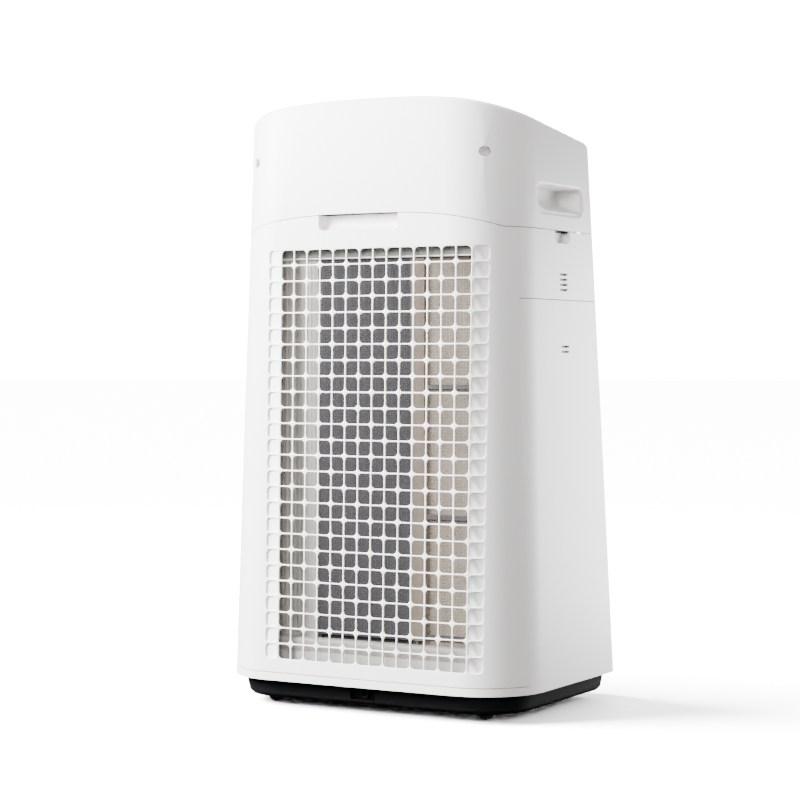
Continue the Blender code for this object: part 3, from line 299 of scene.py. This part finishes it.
def rearFace(x, z, inset=0.0):
    # y of the rear at x: straight across, then a quarter circle at each corner
    past = np.maximum(np.abs(x) - (halfAt(z) - housing["corner"]), 0)
    radius = housing["corner"] - inset
    return bowed(x, rearAt(z) - housing["corner"] + np.sqrt(np.maximum(radius ** 2 - past ** 2, 0)), z)


# Rear grille: 16 columns, of which the outer two are closed, by 26 rows
grille = {
    "left": 120.6 * mm, "top": 513.4 * mm, "wide": 17.1 * mm, "tall": 17.63 * mm, "columns": 16, "rows": 26,
    "rib": 1.1 * mm, "round": 4.8 * mm, "sharp": 0.7 * mm, "edge": 0.3 * mm, "draft": 0.25 * mm,
    "near": 2.3 * mm, "far": 5.4 * mm, "rimWide": 0.6, "rimDeep": 0.35, "blindTaper": (0.97, 0.93),
    "split": 89.8 * mm, "low": 40.2 * mm, "sideSeam": 533.5 * mm, "arch": 17.5 * mm, "archHalf": 163 * mm,
    "archPower": 3.2, "blindDeep": 2.0 * mm, "blindShallow": 0.5 * mm,
    "pocketMiddle": 3.4 * mm, "pocketHalf": 50.5 * mm, "pocketTall": 18 * mm, "pocketDeep": 13 * mm,
    "pocketRound": 8 * mm, "pocketRim": 2.2 * mm, "pocketStart": 0.35, "pocketPower": 0.7,
}
# how finely the solid part is divided: rows below and above the lattice, steps round a corner, the widest
# face above the lattice, and the band that joins those narrow faces to the cells
panelGrid = {"lowRows": 7, "highRows": 30, "cornerSteps": 18, "widest": 1.1 * mm, "band": 2.5 * mm}


def eased(share):  # zero slope at both ends
    share = np.clip(share, 0, 1)
    return share * share * (3 - 2 * share)


def archAt(x):  # the rear panel's top edge, a flattened arch between the two side seams
    rise = 1 - np.abs(x / grille["archHalf"]) ** grille["archPower"]
    return grille["sideSeam"] + grille["arch"] * np.maximum(rise, 0)


tilePoints = 20  # round a cell's border and round its hole alike: five at each corner


def tileRings(wide, tall, radii):
    # a cell's border and its hole; each corner of the hole is an arc of its own radius
    halfX, halfZ = wide / 2, tall / 2
    holeX, holeZ = halfX - grille["rib"] / 2, halfZ - grille["rib"] / 2
    outer, hole = [], []
    for turn, (sx, sz) in enumerate(((1, 1), (-1, 1), (-1, -1), (1, -1))):
        near, far, radius = grille["near"], grille["far"], radii[turn]
        before = [(sx * halfX, sz * (halfZ - far)), (sx * halfX, sz * (halfZ - near))]
        past = [(sx * (halfX - near), sz * halfZ), (sx * (halfX - far), sz * halfZ)]
        if turn % 2:
            before, past = past[::-1], before[::-1]
        outer += [*before, (sx * halfX, sz * halfZ), *past]
        angles = np.radians(90 * turn + np.linspace(0, 90, 5))
        hole += [(sx * (holeX - radius) + radius * math.cos(a), sz * (holeZ - radius) + radius * math.sin(a))
                 for a in angles]
    return np.array(outer), np.array(hole)


def latticeMesh():
    # Each cell is a run of rings: its border, the hole's rounded rim, the hole's wall and its border behind
    points, faces, count = [], [], 0
    wide, tall, wall, edge = grille["wide"], grille["tall"], housing["wall"], grille["edge"]
    around = np.arange(tilePoints)
    after = np.roll(around, -1)
    for column in range(grille["columns"]):
        blind = column in (0, grille["columns"] - 1)
        for row in range(grille["rows"]):
            middle = np.array([grille["left"] - (column + 0.5) * wide, grille["top"] - (row + 0.5) * tall])
            # knots where ribs cross, in the order of the cell's corners +x+z, -x+z, -x-z, +x-z
            knots = ((column - 2, row - 1), (column - 1, row - 1), (column - 1, row), (column - 2, row))
            radii = [grille["round"] if (i + j) % 2 == 0 or blind else grille["sharp"] for i, j in knots]
            outer, hole = tileRings(wide, tall, radii)
            inward = hole * (1 - 2 * edge / np.array([wide, tall]))
            behind = hole * (1 + 2 * grille["draft"] / np.array([wide, tall]))  # ribs taper towards the back
            rings = [(outer, 0.0), (hole + (hole - inward) * grille["rimWide"], 0.0),
                     (hole, edge * grille["rimDeep"]), (inward, edge)]
            if blind:
                side = 1 if column == 0 else -1
                share = np.clip(0.5 + side * inward[:, 0] / wide, 0, 1)
                floor = grille["blindShallow"] + (grille["blindDeep"] - grille["blindShallow"]) * share
                half, full = grille["blindTaper"]
                rings = rings[:3] + [(hole * half, floor * 0.5), (hole * full, floor)]
            else:
                rings += [(hole, wall - edge * grille["rimWide"]), (behind, wall), (outer, wall)]
            placed = []
            for flat, depth in rings:
                x, z = (flat + middle).T
                y = rearFace(x, z) - depth
                if not blind and flat is outer and np.max(depth) > 0:
                    y = rearFace(x, z, wall)
                elif not blind and np.ndim(depth) == 0 and depth > wall / 2:
                    y = rearFace(x, z, wall) + (wall - depth)
                placed.append(np.column_stack([x, y, z]))
            total = len(placed)
            points += placed
            for ring in range(total - 1):
                low = count + ring * tilePoints
                quads = [low + around, low + tilePoints + around, low + tilePoints + after, low + after]
                faces += np.column_stack(quads).tolist()
            if blind:
                last = count + (total - 1) * tilePoints
                faces.append((last + around)[::-1].tolist())
                x, z = (outer + middle).T
                points.append(np.column_stack([x, rearFace(x, z, wall), z]))
                total += 1
                faces.append((last + tilePoints + around).tolist())
            count += total * tilePoints
    return np.concatenate(points), faces


def tileLines(start, pitch, cells):
    # where the cells' borders have points along one direction
    steps = np.array([0, grille["near"], grille["far"], -grille["far"], -grille["near"]])
    steps[3:] += abs(pitch)
    lines = (start + pitch * np.arange(cells)[:, None] + np.sign(pitch) * steps[None, :]).ravel()
    return np.append(lines, start + pitch * cells)


def cornerRun(x0, z, side, steps, inset):
    # points from x0 round the corner to where the panel ends, even along the arc
    centre = halfAt(z) - housing["corner"]
    radius = housing["corner"] - inset
    past = side * x0 - centre
    begin = np.where(past > 0, centre + radius * np.arcsin(np.clip(past / radius, 0, 1)), side * x0)
    stop = centre + radius * np.arccos((grille["split"] - rearAt(z) + housing["corner"]) / radius)
    run = begin + (stop - begin) * np.linspace(0, 1, steps + 1)[:, None]
    angle = np.maximum(run - centre, 0) / radius
    x = side * (np.minimum(run, centre) + radius * np.sin(angle))
    y = rearAt(z) - housing["corner"] + radius * np.cos(angle)
    return np.stack([x, bowed(x, y, z), np.broadcast_to(z, x.shape)], axis=-1)


def pocketDepth(x, z):
    # the finger pocket: deep at the panel's edge, curving out to nothing at its lower edge
    edge = archAt(x)
    across = grille["pocketHalf"] - np.abs(x - grille["pocketMiddle"])
    up = z - (edge - grille["pocketTall"])
    corner = grille["pocketRound"]
    shortX, shortZ = np.maximum(corner - across, 0), np.maximum(corner - up, 0)
    inside = corner - np.sqrt(shortX ** 2 + shortZ ** 2)
    inside = np.where((across < 0) | (up < 0), -1e-3, inside)
    rim = eased(inside / grille["pocketRim"])
    curve = np.sin(np.clip(up / grille["pocketTall"], 0, 1) * math.pi / 2) ** grille["pocketPower"]
    start = grille["pocketStart"]
    return grille["pocketDeep"] * rim * (start + (1 - start) * curve)


def panelMesh():
    # the solid part of the panel round the lattice: strips below and above it and round both corners
    wall, seam = housing["wall"], housing["seam"] / 2
    points, faces, count = [], [], 0
    xs = tileLines(grille["left"], -grille["wide"], grille["columns"])
    zs = tileLines(grille["top"], -grille["tall"], grille["rows"])
    low = np.linspace(zs[-1], grille["low"], panelGrid["lowRows"])[1:]
    every = np.concatenate([zs, low])

    def add(front, back, flip=False, rim=()):
        # two grids, front and behind, with walls along the named edges
        nonlocal count
        rows, columns = front.shape[:2]
        points.extend([front.reshape(-1, 3), back.reshape(-1, 3)])
        faces.extend(gridFaces(rows, columns, count, flip).tolist())
        faces.extend(gridFaces(rows, columns, count + rows * columns, not flip).tolist())
        index = np.arange(rows * columns).reshape(rows, columns) + count
        edges = {"first": index[:, 0], "last": index[::-1, -1], "start": index[0, ::-1], "end": index[-1, :]}
        for name in rim:
            line = edges[name]
            behind = line + rows * columns
            walls = np.column_stack([line[:-1], line[1:], behind[1:], behind[:-1]])
            faces.extend((walls[:, ::-1] if flip else walls).tolist())
        count += 2 * rows * columns

    def strip(x, z):
        front = np.stack([x, rearFace(x, z), z], axis=-1)
        back = np.stack([x, rearFace(x, z, wall), z], axis=-1)
        return front, back

    gridX, gridZ = np.meshgrid(xs, np.concatenate([[zs[-1]], low]))
    add(*strip(gridX, gridZ), rim=("end",))
    # above the lattice the columns are split finely for the pocket; one row of wider faces joins the two
    parts = [max(1, int(round(abs(b - a) / panelGrid["widest"]))) for a, b in zip(xs, xs[1:])]
    fine = np.concatenate([np.linspace(a, b, part + 1) for a, b, part in zip(xs, xs[1:], parts)])
    fine = np.unique(fine.round(9))[::-1]
    share = np.linspace(0, 1, panelGrid["highRows"])[:, None]
    bottom = grille["top"] + panelGrid["band"]
    gridZ = bottom + (archAt(fine)[None, :] - seam - bottom) * share
    gridX = np.broadcast_to(fine, gridZ.shape)
    front, back = strip(gridX, gridZ)
    deep = pocketDepth(gridX, gridZ)
    front[..., 1] -= deep
    back[..., 1] -= deep
    add(front[::-1], back[::-1], rim=("start",))
    for inset in (0.0, wall):
        for a, b in zip(xs, xs[1:]):
            between = fine[(fine <= a + 1e-7) & (fine >= b - 1e-7)]
            x = np.concatenate([[a, b], between[::-1]])
            z = np.concatenate([[grille["top"]] * 2, np.full(len(between), bottom)])
            points.append(np.column_stack([x, rearFace(x, z, inset), z]))
            ring = np.arange(len(x)) + count
            faces.append((ring[::-1] if inset else ring).tolist())
            count += len(x)
    for side, x0 in ((1, xs[0]), (-1, xs[-1])):
        topZ = np.linspace(bottom, archAt(x0) - seam, panelGrid["highRows"])
        column = np.concatenate([topZ[::-1], [grille["top"]], every[1:]])
        share = (column - grille["top"]).clip(0) / (archAt(x0) - seam - grille["top"])
        front = cornerRun(x0, column, side, panelGrid["cornerSteps"], 0.0)
        back = cornerRun(x0, column, side, panelGrid["cornerSteps"], wall)
        drop = (archAt(front[..., 0]) - archAt(x0)) * share[None, :]
        for grid in (front, back):
            grid[..., 2] += drop
        front, back = front.transpose(1, 0, 2), back.transpose(1, 0, 2)
        add(front, back, flip=side > 0, rim=("last", "start", "end"))
    return np.concatenate(points), faces


latticePoints, latticeFaces = latticeMesh()
panelPoints, panelFaces = panelMesh()
shifted = [[index + len(latticePoints) for index in face] for face in panelFaces]
rearGrille = meshPiece("rearGrille", np.concatenate([latticePoints, panelPoints]), latticeFaces + shifted,
                       "satinWhiteAbs", "rear_panel", angle=50)
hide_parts("rear_panel", "pocket_cup")
print("rear grille:", len(rearGrille.data.polygons), "faces")

# Slatted wall beside the carbon filter: a sheet with a shallow upright groove every few millimetres
slats = {"left": 122 * mm, "right": 66.5 * mm, "low": 47 * mm, "high": 519 * mm, "rib": 5.4 * mm,
         "deep": 0.6 * mm, "face": 113.6 * mm, "thick": 2.2 * mm}


def slatMesh():
    # across the sheet y is the face less a rectified cosine, so that narrow grooves lie between wide ribs
    count = int((slats["left"] - slats["right"]) / slats["rib"])
    x = np.linspace(slats["left"], slats["right"], count * 12 + 1)
    z = np.linspace(slats["high"], slats["low"], 3)
    groove = np.abs(np.cos(math.pi * (slats["left"] - x) / slats["rib"])) ** 6 * slats["deep"]
    gridX, gridZ = np.meshgrid(x, z)
    front = np.stack([gridX, slats["face"] - np.broadcast_to(groove, gridX.shape), gridZ], axis=-1)
    back = front - [0, slats["thick"], 0]
    return np.concatenate([front.reshape(-1, 3), back.reshape(-1, 3)]), sheetFaces(len(z), len(x)).tolist()


slattedWall = meshPiece("slattedWall", *slatMesh(), "slatGreyAbs", angle=60)
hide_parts("side_guard")

# Ledge below the filters: a grey moulded step, rounded along its upper edge, with a shallow groove
ledge = {"left": 121 * mm, "right": -141 * mm, "low": 46.5 * mm, "high": 79 * mm, "front": 124 * mm,
         "back": 113.1 * mm, "round": 4 * mm, "groove": (62 * mm, 63 * mm, 65 * mm, 66 * mm),
         "grooveDeep": 0.8 * mm}


def ledgeMesh():
    # a profile of the step, in y and z, carried straight across
    turns = np.radians(np.linspace(0, 90, 7))
    curve = np.column_stack([ledge["front"] - ledge["round"] * (1 - np.cos(turns)),
                             ledge["high"] - ledge["round"] * (1 - np.sin(turns))])
    front, sunk = ledge["front"], ledge["front"] - ledge["grooveDeep"]
    face = np.column_stack([[front, front, sunk, sunk, front], [ledge["low"], *ledge["groove"]]])
    profile = np.concatenate([face, curve])
    x = np.linspace(ledge["left"], ledge["right"], 2)
    front = np.stack([np.broadcast_to(x[None, :], (len(profile), 2)),
                      np.broadcast_to(profile[:, :1], (len(profile), 2)),
                      np.broadcast_to(profile[:, 1:], (len(profile), 2))], axis=-1)[::-1]
    back = np.array(front)
    back[..., 1] = ledge["back"]
    return np.concatenate([front.reshape(-1, 3), back.reshape(-1, 3)]), sheetFaces(len(profile), 2).tolist()


filterLedge = meshPiece("filterLedge", *ledgeMesh(), "slatGreyAbs", angle=40)
print("slatted wall and ledge made")

# Handle cup: a rounded lip, then ramps from below and from the rear down to a deep finger space. The rings
# that carry the ramps are drawn in by insets, in mm, which lie closest where the depth turns sharply
handle = {"middle": -3 * mm, "height": 567.5 * mm, "long": 117 * mm, "tall": 31 * mm, "round": 13 * mm,
          "lip": 2.75 * mm, "deep": 27 * mm, "low": 15 * mm, "rear": 44 * mm, "front": 9 * mm, "top": 3 * mm,
          "thick": 1.8 * mm, "rim": 0.25 * mm, "fall": 0.8,
          "insets": (0.3, 0.7, 1.2, 1.8, 2.5, 3.5, 4.5, 6, 7.5, 9, 10.5, 12, 13.5, 14.7)}


def handleRing(inset):
    # a rectangle with round corners, drawn in by an inset: nine points on each corner, more between
    radius = max(handle["round"] - inset, 0.3 * mm)
    halfY, halfZ = handle["long"] / 2 - inset, handle["tall"] / 2 - inset
    radius = min(radius, halfZ * 0.999)
    arcs = []
    for turn, (sy, sz) in enumerate(((1, 1), (-1, 1), (-1, -1), (1, -1))):
        angles = np.radians(90 * turn + np.linspace(0, 90, 9))
        arcs.append(np.column_stack([sy * (halfY - radius) + radius * np.cos(angles),
                                     sz * (halfZ - radius) + radius * np.sin(angles)]))
    runs = []
    for arc, following, steps in zip(arcs, arcs[1:] + arcs[:1], (24, 4, 24, 4)):
        share = np.linspace(0, 1, steps + 1)[1:-1, None]
        runs += [arc, arc[-1] * (1 - share) + following[0] * share]
    return np.concatenate(runs) + [handle["middle"], handle["height"]]


def handleDepth(ring):
    # depth is the full depth times an eased ramp in from each edge: long from the rear, short from the front
    y, z = ring.T - np.array([[handle["middle"]], [handle["height"]]])
    halfY, halfZ = handle["long"] / 2, handle["tall"] / 2
    ramps = eased((halfY - y) / handle["rear"]) * eased((y + halfY) / handle["front"])
    ramps = ramps * eased((z + halfZ) / handle["low"]) * eased((halfZ - z) / handle["top"])
    return handle["deep"] * ramps


def handleMesh(side):
    lip = handle["lip"]
    turns = np.radians(np.linspace(0, 90, 7))
    rings = [(handleRing(-lip), np.zeros(1))]
    turned, fall = lip - handle["rim"], lip * handle["fall"]
    rings += [(handleRing(turned * (math.sin(a) - 1)), fall * (1 - math.cos(a))) for a in turns]
    for inset in handle["insets"]:
        ring = handleRing(inset * mm)
        rings.append((ring, np.maximum(fall, handleDepth(ring))))
    count = len(rings[0][0])
    points = []
    for thick in (0.0, handle["thick"]):
        for ring, depth in rings:
            y, z = ring.T
            x = side * (halfAt(z) - np.broadcast_to(depth, y.shape) - thick)
            points.append(np.column_stack([x, y, z]))
    faces = []
    around = np.arange(count)
    after = np.roll(around, -1)
    total = len(rings)
    for layer, flip in ((0, side < 0), (total, side > 0)):
        for ring in range(total - 1):
            low = (layer + ring) * count
            quads = np.column_stack([low + around, low + after, low + count + after, low + count + around])
            faces += (quads[:, ::-1] if flip else quads).tolist()
        cap = (layer + total - 1) * count + around
        faces.append((cap[::-1] if flip else cap).tolist())
    walls = np.column_stack([around, total * count + around, total * count + after, after])
    faces += (walls[:, ::-1] if side < 0 else walls).tolist()
    return np.concatenate(points), faces


for side, name, node in ((1, "leftHandleCup", "left_handle_cup"), (-1, "rightHandleCup", "right_handle_cup")):
    cup = meshPiece(name, *handleMesh(side), "satinWhiteAbs", angle=60)
    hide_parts(node)
print("handle cups made")

# Strips round the filters, from one corner to the other in mm: a net over the carbon, a tape along the
# filters' joint, a rail with a lip above them, and a roof over the panel's finger pocket
strips = {
    "jointTape": {"low": (-70.5, 112.3, 83), "high": (-53.3, 113.3, 502.2), "material": "paperTape"},
    "filterRail": {"low": (-141, 112.4, 504.6), "high": (121, 116.4, 521), "material": "railGreyAbs"},
    "carbonNetting": {"low": (-53.1, 112.3, 83), "high": (66.2, 113.3, 502.2), "material": "carbonNet"},
    "pocketRoof": {"low": (-49, 108, 551.9), "high": (56, 127.4, 553.1), "material": "satinWhiteAbs"},
    "railLip": {"low": (-141, 112.4, 502.4), "high": (121, 117.2, 504.3), "material": "shellGreyAbs"},
}


def stripMesh(low, high, edge=0.4):
    # a straight bar whose section is a rectangle with its four long edges cut at 45 degrees
    (x0, y0, z0), (x1, y1, z1) = low, high
    section = np.array([(y0, z0 + edge), (y0 + edge, z0), (y1 - edge, z0), (y1, z0 + edge),
                        (y1, z1 - edge), (y1 - edge, z1), (y0 + edge, z1), (y0, z1 - edge)])
    ends = [np.column_stack([np.full(8, x), section]) for x in (x0, x1)]
    around = np.arange(8)
    after = np.roll(around, -1)
    faces = np.column_stack([around, around + 8, after + 8, after])[:, ::-1].tolist()
    return np.concatenate(ends) * mm, faces + [around.tolist()[::-1], (around + 8).tolist()]


for name, strip in strips.items():
    piece = meshPiece(name, *stripMesh(strip["low"], strip["high"]), strip["material"], smooth=False)

# Screens: thin grey plates behind the slots and the notch of the side, which follow the wall's lean
screenShape = {"rear": 14 * mm, "front": -28 * mm, "thick": 1.2 * mm}
screens = {
    "dustScreen": {"high": 494, "low": 460, "inside": 3.3, "body": "sensor_cover", "material": "slatGreyAbs"},
    "airScreen": {"high": 412, "low": 393, "inside": 3.3, "body": "root", "material": "slatGreyAbs"},
    "notchScreen": {"high": 546, "low": 521, "inside": 11.6, "body": "root", "material": "shellGreyAbs"},
}


def screenMesh(screen):
    # two rows of points that keep a set distance inside the wall
    z = np.array([screen["high"], screen["low"]]) * mm
    y = np.array([screenShape["rear"], screenShape["front"]])
    gridY, gridZ = np.meshgrid(y, z)
    front = np.stack([-(halfAt(gridZ) - screen["inside"] * mm), gridY, gridZ], axis=-1)
    back = front + [screenShape["thick"], 0, 0]
    return np.concatenate([front.reshape(-1, 3), back.reshape(-1, 3)]), sheetFaces(2, 2).tolist()


for name, screen in screens.items():
    piece = meshPiece(name, *screenMesh(screen), screen["material"], screen["body"], smooth=False)
print("strips and screens made")

# What each remaining CAD node is made of; its edges stay sharp where faces turn by more than sharpTurn
sharpTurn = math.radians(32)
coats = {
    "satinWhiteAbs": ("upper_housing", "main_housing", "front_panel", "sensor_cover", "front_louver",
                      "rear_louver", "outlet_frame"),
    "shellGreyAbs": ("filter_bay", "inlet_ring", "panel_catch_left", "panel_catch_right", "ioniser"),
    "texturedBlackAbs": ("base_tray", "cord_inlet"),
    "fanGreyAbs": ("fan_scroll", "impeller", "air_duct"),
    "darkFrameAbs": ("particle_frame",),
    "glossGreyAbs": ("control_panel",),
    "keyWhiteAbs": ("power_button", "mode_button", "speed_button", "timer_button", "lock_button"),
    "blackEnamel": ("fan_motor",),
    "rollerRubber": tuple(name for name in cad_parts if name.endswith("_wheel")),
    "smokedAcrylic": ("display_window",),
    "sensorBlack": ("dust_sensor", "odour_sensor"),
    "carbonNet": ("carbon_filter", "carbon_frame"),
    "paperWithHollowShade": ("particle_filter",),
    "zincPlate": ("motor_shaft", "impeller_nut", "motor_bracket", "rear_screw_left", "rear_screw_right",
                  *[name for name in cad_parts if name.endswith("_axle")]),
    "solderMask": ("control_board", "power_board"),
}
for material, nodes in coats.items():
    for name in nodes:
        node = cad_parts[name]
        node.data.materials.clear()
        node.data.materials.append(finish[material])
        node.data.polygons.foreach_set("use_smooth", np.ones(len(node.data.polygons), bool))
        weld = node.modifiers.new("weld", "WELD")
        weld.merge_threshold = weldWithin
        split = node.modifiers.new("edges", "EDGE_SPLIT")
        split.split_angle = sharpTurn
print("CAD nodes coated")

# Floor, light and camera. The softboxes light the object from its left and from its far right, so the
# corner between them stays in shade; the floor has a lamp of its own, which leaves a soft shadow on it
stageLook = {
    "floor": "#FBFBFC", "floorRadius": 40.0, "sky": 22.0, "aim": (0, 0, 0.35),
    "sun": 62.0, "sunSoft": 42.0, "sunFrom": (0.75, 0.25, 1.0),
    "boxes": {
        "key": {"place": (1.5, 1.25, 1.3), "size": 1.1, "power": 420.0},
        "side": {"place": (-0.52, -0.72, 0.3), "size": 0.6, "power": 22.0},
        "back": {"place": (-0.9, 2.4, 1.1), "size": 1.2, "power": 88.0},
        "top": {"place": (0.3, 0.2, 2.6), "size": 1.6, "power": 95.0},
        "front": {"place": (0.9, -2.6, 1.3), "size": 1.3, "power": 190.0},
    },
}


def studio():
    mesh = bpy.data.meshes.new("floor")
    angles = np.linspace(0, 2 * math.pi, 65)[:-1]
    disc = np.column_stack([np.cos(angles), np.sin(angles), np.zeros(64)]) * stageLook["floorRadius"]
    mesh.from_pydata(disc.tolist(), [], [list(range(64))])
    floor = bpy.data.objects.new("floor", mesh)
    bpy.context.scene.collection.objects.link(floor)
    mesh.materials.append(newMaterial("paperFloor", {"colour": stageLook["floor"], "roughness": 0.9})[0])
    floor.visible_diffuse = floor.visible_glossy = False
    world = bpy.data.worlds.new("sky")
    world.use_nodes = True
    world.node_tree.nodes["Background"].inputs["Color"].default_value = (1.0, 1.0, 1.0, 1.0)
    world.node_tree.nodes["Background"].inputs["Strength"].default_value = stageLook["sky"]
    bpy.context.scene.world = world
    world.cycles_visibility.diffuse = world.cycles_visibility.glossy = False
    for name, box in stageLook["boxes"].items():
        lamp = bpy.data.lights.new(name, "AREA")
        lamp.energy, lamp.size = box["power"], box["size"]
        softbox = bpy.data.objects.new(name, lamp)
        softbox.location = box["place"]
        softbox.visible_camera = False
        aim = Vector(stageLook["aim"]) - Vector(box["place"])
        softbox.rotation_euler = aim.to_track_quat("-Z", "Y").to_euler()
        bpy.context.scene.collection.objects.link(softbox)
    lamp = bpy.data.lights.new("floorLamp", "SUN")
    lamp.energy, lamp.angle = stageLook["sun"], math.radians(stageLook["sunSoft"])
    sun = bpy.data.objects.new("floorLamp", lamp)
    sun.rotation_euler = (-Vector(stageLook["sunFrom"])).to_track_quat("-Z", "Y").to_euler()
    bpy.context.scene.collection.objects.link(sun)
    onlyFloor = bpy.data.collections.new("onlyFloor")
    onlyFloor.objects.link(floor)
    sun.light_linking.receiver_collection = onlyFloor


studio()
lens = bpy.data.cameras.new("view")
lens.lens, lens.sensor_width = camera["lens"], camera["sensor"]
viewer = bpy.data.objects.new("view", lens)
viewer.location = camera["place"]
viewer.rotation_euler = (math.radians(90 - camera["dip"]), 0, math.radians(camera["turn"]))
bpy.context.scene.collection.objects.link(viewer)
bpy.context.scene.camera = viewer
print("stage, lights and camera set")
